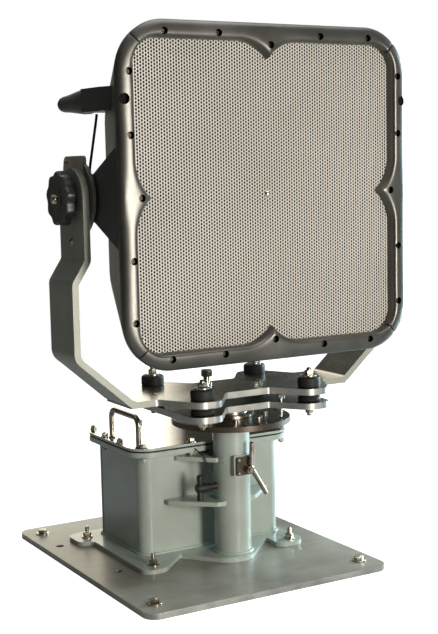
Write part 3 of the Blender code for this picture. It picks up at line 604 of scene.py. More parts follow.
# ---------------------------------------------------------------- pedestal
def build_floor():
    """White to the camera, grey to everything else."""
    solid = bmesh.new()
    rings = [(radius, 0.0) for radius in (0.0, 400.0, 900.0, 1600.0, 2400.0, FLOOR_R)]
    add_turned(solid, rings + [(FLOOR_R, -20.0), (0.0, -20.0)], (0, 0, -0.4), "Z", 64)
    floor = to_object("studio_floor", solid)
    grey = (0.36, 0.36, 0.355)
    mat = surface("floor", grey, grey, 0.7, 0.0, 40.0, (0.02, 0.0001), 0.01, 2.0, 0.02)
    tree = mat.node_tree
    shader = tree.nodes["Principled BSDF"]
    glow = blend(tree, (0.0, 0.0, 0.0, 1.0), (FLOOR_GLOW, FLOOR_GLOW, FLOOR_GLOW, 1.0), camera_ray(tree))
    tree.links.new(glow, shader.inputs["Emission Color"])
    shader.inputs["Emission Strength"].default_value = 1.0
    floor.data.materials.append(mat)


def build_base():
    outline = shifted(rounded_square(PLATE_HALF_X, PLATE_HALF_Y, PLATE_R, 10), PLATE_X, PLATE_Y)
    signs = [(sx, sy) for sx in (-1, 1) for sy in (-1, 1)]
    corners = [(PLATE_X + sx * PLATE_BOLT_X, PLATE_Y + sy * PLATE_BOLT_Y) for sx, sy in signs]
    holes = [circle(x, y, 6.8, 20) for x, y in corners] + [circle(x, y, 9.5, 28) for x, y in SPARE_HOLES]
    base = soften(plate("base_plate_steel", [outline] + holes, 0.0, PLATE_T), 1.2)
    dress(base, "pedestal", "plate_steel", ["base_plate"])
    second_finish(base, "cut_edge", lambda at, normal: abs(normal.z) < 0.9)
    for number, (x, y) in enumerate(corners, 1):
        solid = bmesh.new()
        at = (x, y, PLATE_T)
        add_washer(solid, 16.0, 6.4, 0.2, 2.8, at)
        add_nut(solid, 19.0, 2.8, 10.8, at, turn=0.2 * number)
        add_thread(solid, 6.0, 1.0 - PLATE_T, 11.3, at)
        bolt = to_object(f"base_bolt_set_{number}", solid)
        dress(bolt, "pedestal", "gold_steel", [f"base_bolt_{number}"])


def build_foot():
    foot = soften(plate("foot_flange_plate", [fillet(FOOT_OUTLINE, 9)], FOOT_LOW, FOOT_TOP), 1.0)
    dress(foot, "pedestal", "paint", ["foot_flange"])
    for number, (x, y) in enumerate(FOOT_STUDS, 1):
        solid = bmesh.new()
        at = (x, y, FOOT_TOP)
        add_washer(solid, 13.5, 5.4, 0.2, 2.6, at)
        add_nut(solid, 17.0, 2.6, 12.5, at, turn=0.25 * number)
        add_thread(solid, 5.0, 2.0, 27.0, at, pitch=1.5)
        stud = to_object(f"foot_stud_set_{number}", solid)
        dress(stud, "pedestal", "gold_steel", [f"foot_stud_{number}"])


def box_outline(grow, radius, segments=8):
    x0, x1, y0, y1 = BOX_X0 - grow, BOX_X1 + grow, BOX_Y0 - grow, BOX_Y1 + grow
    return fillet([(x0, y0, radius), (x1, y0, radius), (x1, y1, radius), (x0, y1, radius)], segments)


def rim_bolt_places():
    """Bolt centres round the box rim, evenly along each side."""
    places = []
    inset = RIM_OUT / 2.0 + 1.0
    x0, x1, y0, y1 = BOX_X0 - inset, BOX_X1 + inset, BOX_Y0 - inset, BOX_Y1 + inset
    corner = 14.0
    for share in (0.0, 1 / 3, 2 / 3, 1.0):
        x = x0 + corner + (x1 - x0 - 2 * corner) * share
        places += [(x, y0), (x, y1)]
    for share in (1 / 3, 2 / 3):
        y = y0 + corner + (y1 - y0 - 2 * corner) * share
        places += [(x0, y), (x1, y)]
    return places


def build_box():
    solid = bmesh.new()
    levels = [(FOOT_TOP + 0.3, 0.0), (RIM_LOW - 1.5, 0.0), (RIM_LOW, 0.6)]
    add_loft(solid, [[(p.x, p.y, z) for p in box_outline(grow, BOX_R + grow)] for z, grow in levels])
    body = to_object("box_shell", solid)
    dress(body, "pedestal", "paint", ["box_body"])
    rim = soften(plate("box_rim", [box_outline(RIM_OUT, BOX_R + RIM_OUT)], RIM_LOW, RIM_TOP), 0.9)
    dress(rim, "pedestal", "paint")
    seal = plate("lid_seal", [box_outline(RIM_OUT - 1.5, BOX_R + RIM_OUT - 1.5)], SEAL_LOW, SEAL_TOP)
    dress(seal, "pedestal", "rubber", ["lid_gasket"])
    lid = soften(plate("lid_sheet", [box_outline(RIM_OUT, BOX_R + RIM_OUT)], LID_LOW, LID_TOP), 0.8)
    dress(lid, "pedestal", "polished", ["box_lid"])
    second_finish(lid, "paint", lambda at, normal: normal.z < 0.9)

    solid = bmesh.new()
    route = [(p.x, p.y, FOOT_TOP + 1.2) for p in box_outline(1.5, BOX_R + 1.5, 6)]
    add_bead(solid, route, 3.4, 5.0)
    for x in (BOX_X0 - 0.3, BOX_X1 + 0.3):
        add_bead(solid, [(x, BOX_SEAM_Y, FOOT_TOP + 4.0), (x, BOX_SEAM_Y, RIM_LOW - 1.0)], 1.3, 4.0, False)
    ring = [(p.x, p.y, FOOT_TOP + 1.0) for p in circle(0, 0, COLUMN_R + 1.5, 40)]
    add_bead(solid, ring, 4.0, 5.0)
    dress(to_object("foot_welds", solid), "pedestal", "paint")

    heads = bmesh.new()
    nuts = bmesh.new()
    for number, (x, y) in enumerate(rim_bolt_places()):
        add_washer(heads, 10.0, 4.2, LID_TOP + 0.1, LID_TOP + 2.0, (x, y, 0))
        add_nut(heads, 14.0, LID_TOP + 2.0, LID_TOP + 8.5, (x, y, 0), turn=0.4 * number)
        add_thread(heads, 4.0, LID_TOP + 8.0, LID_TOP + 11.0, (x, y, 0), "Z", 1.25)
        add_washer(nuts, 8.5, 4.2, RIM_LOW - 1.7, RIM_LOW - 0.1, (x, y, 0))
        add_nut(nuts, 13.0, RIM_LOW - 7.7, RIM_LOW - 1.7, (x, y, 0), turn=0.3 * number)
        add_thread(nuts, 4.0, -(RIM_LOW - 7.0), -(RIM_LOW - 10.6), (x, y, 0), "-Z", 1.25)
    dress(to_object("lid_bolts", heads), "pedestal", "bolt_steel")
    dress(to_object("rim_nuts", nuts), "pedestal", "paint")

    solid = bmesh.new()
    route = round_route([(HANDLE_X, HANDLE_Y0, LID_TOP + 0.5, 0), (HANDLE_X, HANDLE_Y0, HANDLE_TOP, 18.0),
                         (HANDLE_X, HANDLE_Y1, HANDLE_TOP, 18.0), (HANDLE_X, HANDLE_Y1, LID_TOP + 0.5, 0)])
    add_tube(solid, route, HANDLE_R, 18)
    for y in (HANDLE_Y0, HANDLE_Y1):
        add_turned(solid, [(HANDLE_R + 0.3, LID_TOP + 4.0), (HANDLE_R + 2.4, LID_TOP + 0.6),
                           (HANDLE_R + 2.8, LID_TOP + 0.1), (0, LID_TOP + 0.1), (0, LID_TOP + 4.0)],
                   (HANDLE_X, y, 0), "Z", 24)
    dress(to_object("lid_handle_rod", solid), "pedestal", "handle_steel", ["lid_handle"])


def build_column():
    solid = bmesh.new()
    bore, low = COLUMN_R - 6.0, FOOT_TOP + 0.3
    add_turned(solid, [(COLUMN_R, low), (COLUMN_R, COLUMN_TOP - 1.0), (COLUMN_R - 1.0, COLUMN_TOP),
                       (bore, COLUMN_TOP), (bore, low)], steps=96)
    dress(to_object("column_pipe", solid), "pedestal", "paint", ["column_tube"])

    loops = [circle(0, 0, DISC_R, 128), circle(0, 0, 20.8, 32)]
    start = math.atan2(PIN_Y, PIN_X)
    for k in range(INDEX_HOLES):
        angle = start + math.tau * k / INDEX_HOLES
        loops.append(circle(INDEX_R * math.cos(angle), INDEX_R * math.sin(angle), INDEX_HOLE_R, 18))
    disc = soften(plate("index_disc_plate", loops, DISC_LOW, DISC_TOP), 0.7)
    dress(disc, "pedestal", "dark_steel", ["index_disc"])

    solid = bmesh.new()
    for k in range(8):
        angle = math.tau * (k + 0.5) / 8
        x, y = 78.0 * math.cos(angle), 78.0 * math.sin(angle)
        add_cap_screw(solid, 6.5, DISC_TOP + 0.1, DISC_TOP + 7.0, (x, y, 0))
        x, y = 62.0 * math.cos(angle + 0.39), 62.0 * math.sin(angle + 0.39)
        add_nut(solid, 13.0, DISC_LOW - 7.0, DISC_LOW - 0.1, (x, y, 0))
    dress(to_object("disc_screws", solid), "pedestal", "bolt_steel")

    solid = bmesh.new()
    high, collar = TURN_LOW - 0.3, DISC_TOP + 0.4
    add_turned(solid, [(0, high), (37.0, high), (38.0, high - 1.0), (38.0, 346.0), (50.0, 344.5),
                       (51.0, 343.5), (51.0, collar + 0.8), (50.0, collar), (20.0, collar), (20.0, 150.0),
                       (0, 150.0)], steps=64)
    dress(to_object("pan_spindle_turned", solid), "turret", "bolt_steel", ["pan_spindle"])


def build_gussets():
    left = [(-140, 65.6, 0), (-140, 50, 4), (-54, -28, 8), (-10, -28, 0), (-10, 65.6, 0)]
    left_high = [(-114, 65.6, 0), (-112, 58, 3), (-46, -10, 8), (-10, -10, 0), (-10, 65.6, 0)]
    right = [(126, 65.6, 0), (126, 54, 4), (54, -14, 8), (10, -14, 0), (10, 65.6, 0)]
    rows = [("gusset_lower_left", left, GUSSET_Z), ("gusset_upper_left", left_high, GUSSET_HIGH_Z),
            ("gusset_lower_right", right, GUSSET_Z)]
    for name, outline, low in rows:
        web = plate(name + "_web", [fillet(outline, 6)], low, low + GUSSET_T)
        tool = bmesh.new()
        add_rod(tool, COLUMN_R + 0.3, low - 5, low + 15, steps=96)
        boolean(web, to_object("bore", tool), "DIFFERENCE")
        dress(soften(web, 0.9), "pedestal", "paint", [name])
    solid = bmesh.new()
    for side, low in ((-1, GUSSET_Z), (-1, GUSSET_HIGH_Z), (1, GUSSET_Z)):
        for level in (low - 0.5, low + GUSSET_T + 0.5):
            points = [(side * COLUMN_R * math.cos(a), COLUMN_R * math.sin(a), level)
                      for a in (math.radians(-38 + 120 * k / 12) for k in range(13))]
            add_bead(solid, points, 2.2, 4.0, False)
    dress(to_object("gusset_welds", solid), "pedestal", "paint")


def build_clamps():
    outline = rounded_square(PAD_HALF, PAD_HALF, 3, 4)
    pad = plate("clamp_pad_block", [shifted(outline, 0, PAD_Z)], 34.0, -PAD_Y, "XZ")
    tool = bmesh.new()
    add_rod(tool, COLUMN_R + 0.3, 150, 300, steps=96)
    boolean(pad, to_object("bore", tool), "DIFFERENCE")
    dress(soften(pad, 0.8), "pedestal", "paint", ["clamp_pad"])
    cheek_outline = fillet([(-19, -21, 3), (22, -21, 3), (22, 20, 3), (-19, 20, 3)], 4)
    cheek = plate("clamp_cheek", [shifted(cheek_outline, 0, PAD_Z)], -PAD_Y + 0.3, -PAD_Y + 6.3, "XZ")
    dress(soften(cheek, 0.8), "pedestal", "dark_steel", ["clamp_plate"])
    solid = bmesh.new()
    for dx, dz in ((-14, 15), (17, 15), (-14, -16), (17, -16)):
        add_cap_screw(solid, 3.6, 0.0, 3.4, (dx, PAD_Y - 6.3, PAD_Z + dz), "-Y")
    dress(to_object("clamp_screws", solid), "pedestal", "bolt_steel")

    solid = bmesh.new()
    pivot = (LEVER_X, 0, LEVER_Z)
    add_turned(solid, [(0, 73.0), (8.5, 73.0), (9.5, 72.0), (9.5, 56.8), (0, 56.8)], pivot, "-Y", 32)
    add_nut(solid, 11.0, 73.0, 76.5, pivot, "-Y")
    route = round_route([(LEVER_X + 7, LEVER_Y, 284, 0), (LEVER_X + 5, LEVER_Y, 226, 14),
                         (LEVER_X + 42, LEVER_Y, 164, 0)])
    add_tube(solid, route, 5.5, 18, True)
    dress(to_object("pan_lock_bar", solid), "pan_lock", "copper", ["pan_lock_lever"])

    solid = bmesh.new()
    stem = [(0, 42.3), (8.0, 42.3), (8.0, 66.0), (10.5, 71.0), (10.5, 91.5), (9.0, 93.0), (0, 93.0)]
    add_turned(solid, stem, (0, 0, TEE_Z), "-X", 28)
    half_bar = [(0, TEE_HALF), (5.0, TEE_HALF), (6.9, TEE_HALF - 2), (7.4, TEE_HALF - 8), (5.8, 9.0)]
    bar = half_bar + [(radius, -height) for radius, height in reversed(half_bar)]
    add_turned(solid, bar, (TEE_X, 0, TEE_Z), "Z", 28)
    dress(to_object("tee_knob", solid), "tee", "plastic", ["tee_handle"])

    solid = bmesh.new()
    anchor = Vector((-72.0, BOX_Y0 - RIM_OUT - 2.2, 262.0))
    over_web = Vector((-67.0, 7.0, 248.0))
    hub = Vector((TEE_X + 28.0, -8.5, TEE_Z + 4.0))
    sag = [anchor.lerp(over_web, k / 3.0) for k in range(3)]
    for k in range(11):
        sag.append(over_web.lerp(hub, k / 10.0) - Vector((0, 3.0 * math.sin(math.pi * k / 10.0), 0)))
    add_tube(solid, sag, 1.5, 10)
    dress(to_object("tether", solid), "pedestal", "plastic", ["tether_cord"])


# ---------------------------------------------------------------- turntable and yoke
def deck_outline(end_x, end_y, end_radius, segments=10):
    """Quarter by quarter: a waist at the middle and an ear round each isolator."""
    quarter = [(DECK_NECK, DECK_WAIST, 12.0), (112.0, EAR_Y, 30.0)]
    if end_y > ARM_HALF:
        quarter.append((end_x, end_y, end_radius))
    else:
        quarter += [(163.0, EAR_Y, 30.0), (213.0, ARM_HALF, 14.0), (end_x, end_y, end_radius)]
    points = [(x, -y, r) for x, y, r in quarter]
    points += [(x, y, r) for x, y, r in reversed(quarter)]
    points += [(-x, y, r) for x, y, r in quarter]
    points += [(-x, -y, r) for x, y, r in reversed(quarter)]
    return fillet(points, segments)


def isolator_places():
    return [(sx * ISO_X, sy * ISO_Y) for sy in (-1, 1) for sx in (-1, 1)]


def add_puck(word, number, wall, low, high, x, y):
    solid = bmesh.new()
    add_turned(solid, wall + [(BOLT_HOLE_R, low), (BOLT_HOLE_R, high)], (x, y, 0), steps=48)
    puck = to_object(f"isolator_{word}_puck_{number}", solid)
    dress(puck, "turret", "rubber", [f"isolator_{word}_{number}"])


def build_turntable():
    loops = [deck_outline(TURN_HALF_X, EAR_Y, 36.0)]
    loops += [circle(x, y, BOLT_HOLE_R, 20) for x, y in isolator_places()]
    loops.append(circle(PIN_X, PIN_Y, 4.6, 16))
    table = soften(plate("turntable", loops, TURN_LOW, TURN_TOP), 0.9)
    dress(table, "turret", "aluminium", ["turntable_plate"])
    second_finish(table, "cut_edge", lambda at, normal: abs(normal.z) < 0.85)
    second_finish(table, "deck", lambda at, normal: normal.z > 0.9)
    for number, (x, y) in enumerate(isolator_places(), 1):
        low, high = TURN_TOP + 0.3, YOKE_LOW - 0.3
        waist = [(ISO_R - 3, high), (ISO_R - 0.6, high - 1.5), (ISO_R, high - 5),
                 (ISO_R - 2.5, (low + high) / 2), (ISO_R, low + 5), (ISO_R - 0.6, low + 1.5),
                 (ISO_R - 3, low)]
        add_puck("lower", number, waist, low, high, x, y)
        low, high = YOKE_TOP + 0.3, ISO_TOP
        dome = [(ISO_R - 7, high), (ISO_R - 3.2, high - 0.8), (ISO_R - 0.8, high - 3.2), (ISO_R, high - 7),
                (ISO_R, low + 3), (ISO_R - 1, low)]
        add_puck("upper", number, dome, low, high, x, y)
        solid = bmesh.new()
        base, under = ISO_TOP + 0.3, TURN_LOW - 0.3
        add_washer(solid, 17.0, 6.3, base - 0.2, base + 3.0, (x, y, 0))
        add_nut(solid, 18.0, base + 3.0, base + 13.0, (x, y, 0), turn=0.35 * number)
        add_thread(solid, 6.0, base + 12.0, base + 19.0, (x, y, 0))
        add_rod(solid, 6.0, base, under, (x, y, 0), steps=24)
        add_washer(solid, 14.0, 6.3, under - 3.0, under, (x, y, 0))
        add_nut(solid, 18.0, under - 13.0, under - 3.0, (x, y, 0), turn=0.5 * number)
        add_thread(solid, 6.0, -(under - 12.5), -(under - 20.0), (x, y, 0), "-Z")
        bolt = to_object(f"isolator_bolt_set_{number}", solid)
        dress(bolt, "turret", "bolt_steel", [f"isolator_bolt_{number}"])


def build_yoke():
    loops = [deck_outline(280.0, ARM_HALF, 4.0)]
    loops += [circle(x, y, BOLT_HOLE_R, 20) for x, y in isolator_places()]
    yoke = plate("yoke_plate", loops, YOKE_LOW, YOKE_TOP)
    outer = [(276, YOKE_LOW, 34), (ARM_LOW_X, BEND_Z, 34), (ARM_LOW_X, JOG_LOW, 26),
             (ARM_UP_X, JOG_HIGH, 14), (ARM_UP_X, ARM_TOP, 0)]
    inner = [(ARM_UP_X - ARM_T, ARM_TOP, 0), (ARM_UP_X - ARM_T, JOG_HIGH - 4, 28),
             (ARM_LOW_X - ARM_T, JOG_LOW - 4, 12), (ARM_LOW_X - ARM_T, BEND_Z + 6, 20), (270, YOKE_TOP, 20)]
    half = [(120.0, YOKE_LOW, 0)] + outer + inner + [(120.0, YOKE_TOP, 0)]
    reach = [(-ARM_HALF - 2, 380, 0), (ARM_HALF + 2, 380, 0), (ARM_HALF + 2, 600, 0), (ARM_HALF, 601, 0),
             (ARM_HALF, ARM_TOP, ARM_HALF - 0.2), (-ARM_HALF, ARM_TOP, ARM_HALF - 0.2),
             (-ARM_HALF, 601, 0), (-ARM_HALF - 2, 600, 0)]
    for side in (-1, 1):
        outline = [Vector((side * p[0], p[1])) for p in fillet(half, 10)]
        arm = plate("arm", [outline], -ARM_HALF, ARM_HALF, "XZ")
        low, high = sorted((side * 100.0, side * 420.0))
        form = plate("form", [fillet(reach, 18), circle(0, TILT_Z, AXLE_HOLE_R, 32)], low, high, "YZ")
        boolean(arm, form, "INTERSECT", "MANIFOLD")
        boolean(yoke, arm, "UNION", "MANIFOLD")
    dress(soften(yoke, 1.0, 2, 40.0), "turret", "aluminium", ["yoke"])
    second_finish(yoke, "cut_edge", lambda at, normal: abs(at.x) < 260.0 and abs(normal.z) < 0.8)
    second_finish(yoke, "deck", lambda at, normal: normal.z > 0.3 and at.z < JOG_LOW)
    solid = bmesh.new()
    for axis in ("-X", "X"):
        at = (0, ARM_SCREW_Y, ARM_SCREW_Z)
        add_washer(solid, 10.5, 5.0, ARM_UP_X + 0.1, ARM_UP_X + 1.0, at, axis)
        add_cap_screw(solid, 6.0, ARM_UP_X - 2.0, ARM_UP_X + 3.0, at, axis)
    dress(to_object("arm_screws", solid), "turret", "bolt_steel")

    solid = bmesh.new()
    collar = PIN_SEAT + 1.6
    pin = [(0, collar), (9.0, collar), (9.0, PIN_SEAT), (PIN_R, PIN_SEAT), (PIN_R, PIN_LOW + 1.5),
           (PIN_R - 1.5, PIN_LOW), (0, PIN_LOW)]
    add_turned(solid, pin, (PIN_X, PIN_Y, 0), steps=28)
    add_nut(solid, 16.0, PIN_SEAT + 1.5, PIN_SEAT + 9.2, (PIN_X, PIN_Y, 0), turn=0.4)
    dress(to_object("plunger_pin", solid), "plunger", "bolt_steel", ["index_plunger"])

    solid = bmesh.new()
    low = YOKE_TOP + 0.1
    add_turned(solid, [(0, 432), (7.5, 432), (7.5, 411), (12.0, 411), (12.0, low), (0, low)],
               (*DECK_BOLT, 0), steps=28)
    add_nut(solid, 24.0, 426.0, 441.0, (*DECK_BOLT, 0), turn=0.2)
    dress(to_object("deck_bolt", solid), "turret", "bolt_steel")


def is_friction_rim(at, normal):
    return abs(normal.x) < 0.5 and math.hypot(at.y, at.z - TILT_Z) > TAB_REACH


def wavy_circle(count, radius_at):
    """Points of a closed outline whose radius depends on the point's number and angle."""
    points = []
    for k in range(count):
        angle = math.tau * k / count
        radius = radius_at(k, angle)
        points.append(Vector((radius * math.cos(angle), radius * math.sin(angle))))
    return points


def build_pivots():
    tab = [(-36, 40, 10), (-36, 88, 8), (62, 88, 16), (76, 20, 10)]
    for side, word, axis in ((-1, "left", "-X"), (1, "right", "X")):
        high = ARM_UP_X - ARM_T - 0.3
        low = high - FRICTION_T
        span = sorted((side * low, side * high))
        loops = [circle(0, TILT_Z, FRICTION_R, 72), circle(0, TILT_Z, AXLE_HOLE_R, 28)]
        face = plate("friction_face_" + word, loops, *span, "YZ")
        dress(soften(face, 0.8), "turret", "dark_steel", ["friction_plate_" + word])
        second_finish(face, "cut_edge", is_friction_rim)
        outline = shifted(fillet(tab, 8), 0, TILT_Z)
        lug = plate("friction_tab_" + word, [outline], span[0] - 0.15, span[1] + 0.15, "YZ")
        dress(soften(lug, 0.8), "turret", "bronze")

        rim = wavy_circle(KNOB_LOBES * 16,
                          lambda k, angle: KNOB_R + KNOB_LOBE * math.cos(KNOB_LOBES * angle))
        solid = bmesh.new()
        levels = [(KNOB_X0, 0.90), (KNOB_X0 + 1.5, 0.965), (KNOB_X0 + 4.5, 1.0), (KNOB_X1 - 5.0, 1.0),
                  (KNOB_X1 - 1.8, 0.965), (KNOB_X1 - 0.6, 0.90), (KNOB_X1 - 0.8, 0.80),
                  (KNOB_X1 - 3.0, 0.74), (KNOB_X1 - 3.2, 0.42), (KNOB_X1 - 0.4, 0.38), (KNOB_X1, 0.33),
                  (KNOB_X1, 0.22)]
        place = frame_at((0, 0, TILT_Z), axis)
        add_loft(solid, [[place @ Vector((x * size, y * size, level)) for x, y in rim]
                         for level, size in levels])
        ribs = wavy_circle(120, lambda k, angle: 30.0 - (0.9 if k % 2 else 0.0))
        add_prism(solid, ribs, ARM_UP_X + 1.0, KNOB_X0 + 1.0, (0, 0, TILT_Z), axis)
        knob = to_object("tilt_knob_grip_" + word, solid)
        dress(knob, "knob_" + word, "plastic", ["tilt_knob_" + word], 40.0)
        second_finish(knob, "knob_face",
                      lambda at, normal: abs(at.x) > KNOB_X1 - 4.5 and abs(normal.x) > 0.8)

    solid = bmesh.new()
    add_cap_screw(solid, 5.0, 0.0, 4.0, (-352.7 - FRICTION_T, 46, TILT_Z + 76), "-X")
    dress(to_object("tab_screw", solid), "turret", "bolt_steel")


# ---------------------------------------------------------------- speaker head
def cusp_level(across):
    """Distance of the opening's edge from the tilt axis, at a place across the cusp in its side."""
    arc_r = (CUSP_HALF ** 2 + CUSP_DEPTH ** 2) / (2.0 * CUSP_DEPTH)
    into = CUSP_HALF - abs(across)
    return FRAME_IN - (arc_r - math.sqrt(arc_r ** 2 - into ** 2))


def frame_path(corner_steps=14, straight_steps=10, cusp_steps=15):
    """(inner, outer) points of the top side, from one 45 degree seam to the other."""
    edges = [(FRAME_IN, FRAME_IN_R), (FRAME_OUT, FRAME_OUT_R)]
    rows = []
    for k in range(corner_steps + 1):
        angle = math.radians(45.0) * (1.0 - k / corner_steps)
        shift = FRAME_SEAM if k == 0 else 0.0
        rows.append(tuple(Vector((radius - edge - radius * math.sin(angle) + shift,
                                  edge - radius + radius * math.cos(angle))) for edge, radius in edges))
    for k in range(1, straight_steps):
        share = k / straight_steps
        rows.append(tuple(Vector((radius - edge + (edge - radius - CUSP_HALF) * share, edge))
                          for edge, radius in edges))
    for k in range(cusp_steps + 1):
        across = -CUSP_HALF * (1.0 - k / cusp_steps)
        rows.append((Vector((across, cusp_level(across))), Vector((across, FRAME_OUT))))
    mirrored = [(Vector((-a.x, a.y)), Vector((-b.x, b.y))) for a, b in reversed(rows[:-1])]
    return rows + mirrored


def frame_section(inner, outer):
    """Section points (across the rim, forward of the face plane) as plan points and depths."""
    toward = inner - outer
    length = toward.length
    toward.normalize()
    marks = [(2.0, FRAME_BACK), (0.4, FRAME_BACK + 1.0), (0.0, -9.5), (0.5, -7.8), (1.8, -5.8),
             (4.0, -3.9), (7.0, -2.3), (CREST_IN, -1.1)]
    flank = [(0.12, 0.0), (0.26, 0.9), (0.42, 1.6), (0.56, 1.9), (0.68, 1.8), (0.78, 1.0), (0.86, -0.7),
             (0.92, -3.6), (0.96, -8.0), (0.985, -14.0), (1.0, FRAME_DEEP)]
    marks += [(CREST_IN + (length - CREST_IN) * share, depth) for share, depth in flank]
    marks += [(length - 3.0, FRAME_DEEP), (length - 3.0, FRAME_BACK)]
    return [(outer + toward * offset, depth) for offset, depth in marks]


def build_frame():
    rows = frame_path()
    screws = bmesh.new()
    floor = -FACE_Y - SCREW_HOLE_DEEP
    for quarter, word in enumerate(("top", "left", "bottom", "right")):
        turn = Matrix.Rotation(math.radians(90.0) * quarter, 2)
        rings = []
        for inner, outer in rows:
            section = frame_section(inner, outer)
            rings.append([((turn @ p).x, FACE_Y - depth, (turn @ p).y + TILT_Z) for p, depth in section])
        solid = bmesh.new()
        add_loft(solid, rings)
        side = to_object("frame_bar_" + word, solid)
        tool = bmesh.new()
        for along, off in SIDE_SCREWS:
            here = turn @ Vector((along, off))
            at = (here.x, 0, here.y + TILT_Z)
            add_rod(tool, SCREW_HOLE_R, floor + 30, floor, at, "-Y")
            add_cap_screw(screws, 4.6, floor - 1.0, floor + 3.6, at, "-Y")
        if word in ("left", "right"):
            at = (EYE_AT[0] if word == "right" else -EYE_AT[0], 0, TILT_Z + EYE_AT[1])
            add_rod(tool, EYE_R, 230, -FACE_Y - EYE_DEEP, at, "-Y")
        boolean(side, to_object("holes", tool), "DIFFERENCE")
        dress(side, "head", "gunmetal", ["frame_" + word], 50.0)
        # the walls and floors of the round holes get the near-black finish: painted shade in the recesses
        second_finish(side, "driver_black_and_hole_shade", in_painted_hole_shade)
    dress(to_object("frame_screws", screws), "head", "dark_steel")


def in_painted_hole_shade(at, normal):
    """True for the walls and floors of the frame's round holes, which get near-black painted shade."""
    if abs(normal.y) >= 0.1 and at.y <= FACE_Y + 9.0:
        return False
    plan = Vector((at.x, at.z - TILT_Z))
    for quarter in range(4):
        turn = Matrix.Rotation(math.radians(90.0) * quarter, 2)
        for along, off in SIDE_SCREWS:
            if (plan - turn @ Vector((along, off))).length < SCREW_HOLE_R + 0.2:
                return True
    return (Vector((abs(plan.x), plan.y)) - Vector(EYE_AT)).length < EYE_R + 0.2


def inside_opening(x, z, margin):
    """True where the frame leaves the face open, margin mm beyond its inner edge."""
    limit = FRAME_IN + margin
    radius = FRAME_IN_R + margin
    ax, az = abs(x), abs(z)
    if max(ax, az) > limit:
        return False
    corner = limit - radius
    if ax > corner and az > corner and math.hypot(ax - corner, az - corner) > radius:
        return False
    for along, off in ((ax, az), (az, ax)):
        if along < CUSP_HALF and off > cusp_level(along) + margin:
            return False
    return True


def build_grille():
    """A perforated sheet: staggered holes in upright columns, each cell a hexagon with a hole."""
    verts, faces, index = [], [], {}
    column_step = PITCH * math.sqrt(3.0) / 2.0
    cell_r = PITCH / math.sqrt(3.0)
    corner = [(math.cos(math.tau * k / 6), math.sin(math.tau * k / 6)) for k in range(6)]

    def shared(x, z):
        key = (round(x * 20), round(z * 20))
        if key not in index:
            index[key] = len(verts)
            verts.append((x, 0.0, z))
        return index[key]

    columns = int(GRILLE_HALF / column_step)
    straight = GRILLE_HALF - GRILLE_R - 1.0
    for i in range(-columns, columns + 1):
        x = i * column_step
        offset = PITCH / 2.0 if i % 2 else 0.0
        for j in range(-50, 51):
            z = j * PITCH + offset
            bend = max(abs(x) - straight, 0.0), max(abs(z) - straight, 0.0)
            if max(abs(x), abs(z)) > GRILLE_HALF or math.hypot(*bend) > GRILLE_R:
                continue
            rim = [shared(x + cell_r * c, z + cell_r * s) for c, s in corner]
            if not inside_opening(x, z, 3.0):
                faces.append(rim)
                continue
            front = len(verts)
            back = front + 6
            for radius, depth in ((HOLE_R, 0.0), (HOLE_BACK_R, 1.2)):
                verts.extend((x + radius * HOLE_X * c, depth, z + radius * HOLE_Z * s) for c, s in corner)
            for k in range(6):
                n = (k + 1) % 6
                faces.append((rim[k], rim[n], front + n, front + k))
                faces.append((front + k, front + n, back + n, back + k))
    mesh = bpy.data.meshes.new("grille_sheet")
    mesh.from_pydata([(x * MM, (GRILLE_Y + y) * MM, (TILT_Z + z) * MM) for x, y, z in verts], [], faces)
    dress(link_object("grille_sheet", mesh), "head", "grille", ["grille"], 35.0, False)

    backing = plate("driver_backing", [shifted(rounded_square(333, 333, 87), 0, TILT_Z)],
                    -(GRILLE_Y + 9.0), -(GRILLE_Y + 2.2), "XZ")
    dress(backing, "head", "driver_black_and_hole_shade", ["driver_array"])
    solid = bmesh.new()
    dome = [(0, 4.6), (3.4, 4.1), (6.2, 2.4), (7.4, 0.0), (0, 0.0)]
    add_turned(solid, dome, (0, GRILLE_Y, TILT_Z), "-Y", 24)
    dress(to_object("grille_screw", solid), "head", "polished")


def square_ring(half, radius, y, z_shift=0.0, half_z=None, segments=14):
    outline = rounded_square(half, half_z or half, radius, segments)
    return [(p.x, y, p.y + TILT_Z + z_shift) for p in outline]


def housing_rings(grow):
    lip = HOUSE_FRONT - HOUSE_LIP, HOUSE_FRONT_R - HOUSE_LIP
    front = HOUSE_FRONT + grow, HOUSE_FRONT_R + grow
    rings = [square_ring(*lip, HOUSE_FLOOR_Y), square_ring(*lip, HOUSE_FRONT_Y),
             square_ring(*front, HOUSE_FRONT_Y), square_ring(*front, HOUSE_FRONT_Y + 10)]
    rear = [(6, 0, -12, 0.0), (4, 0, -7, grow), (0, 0, -3, grow), (-5, -4, -0.8, grow),
            (-10, -8, 0.0, grow)]
    for wider, rounder, behind, deeper in rear:
        y = HOUSE_BACK_Y + behind + deeper
        rings.append(square_ring(HOUSE_BACK + wider + grow, HOUSE_BACK_R + rounder + grow, y))
    return rings


def cut_by_housing(thing):
    room = bmesh.new()
    add_loft(room, housing_rings(0.4))
    return boolean(thing, to_object("room", room), "DIFFERENCE")


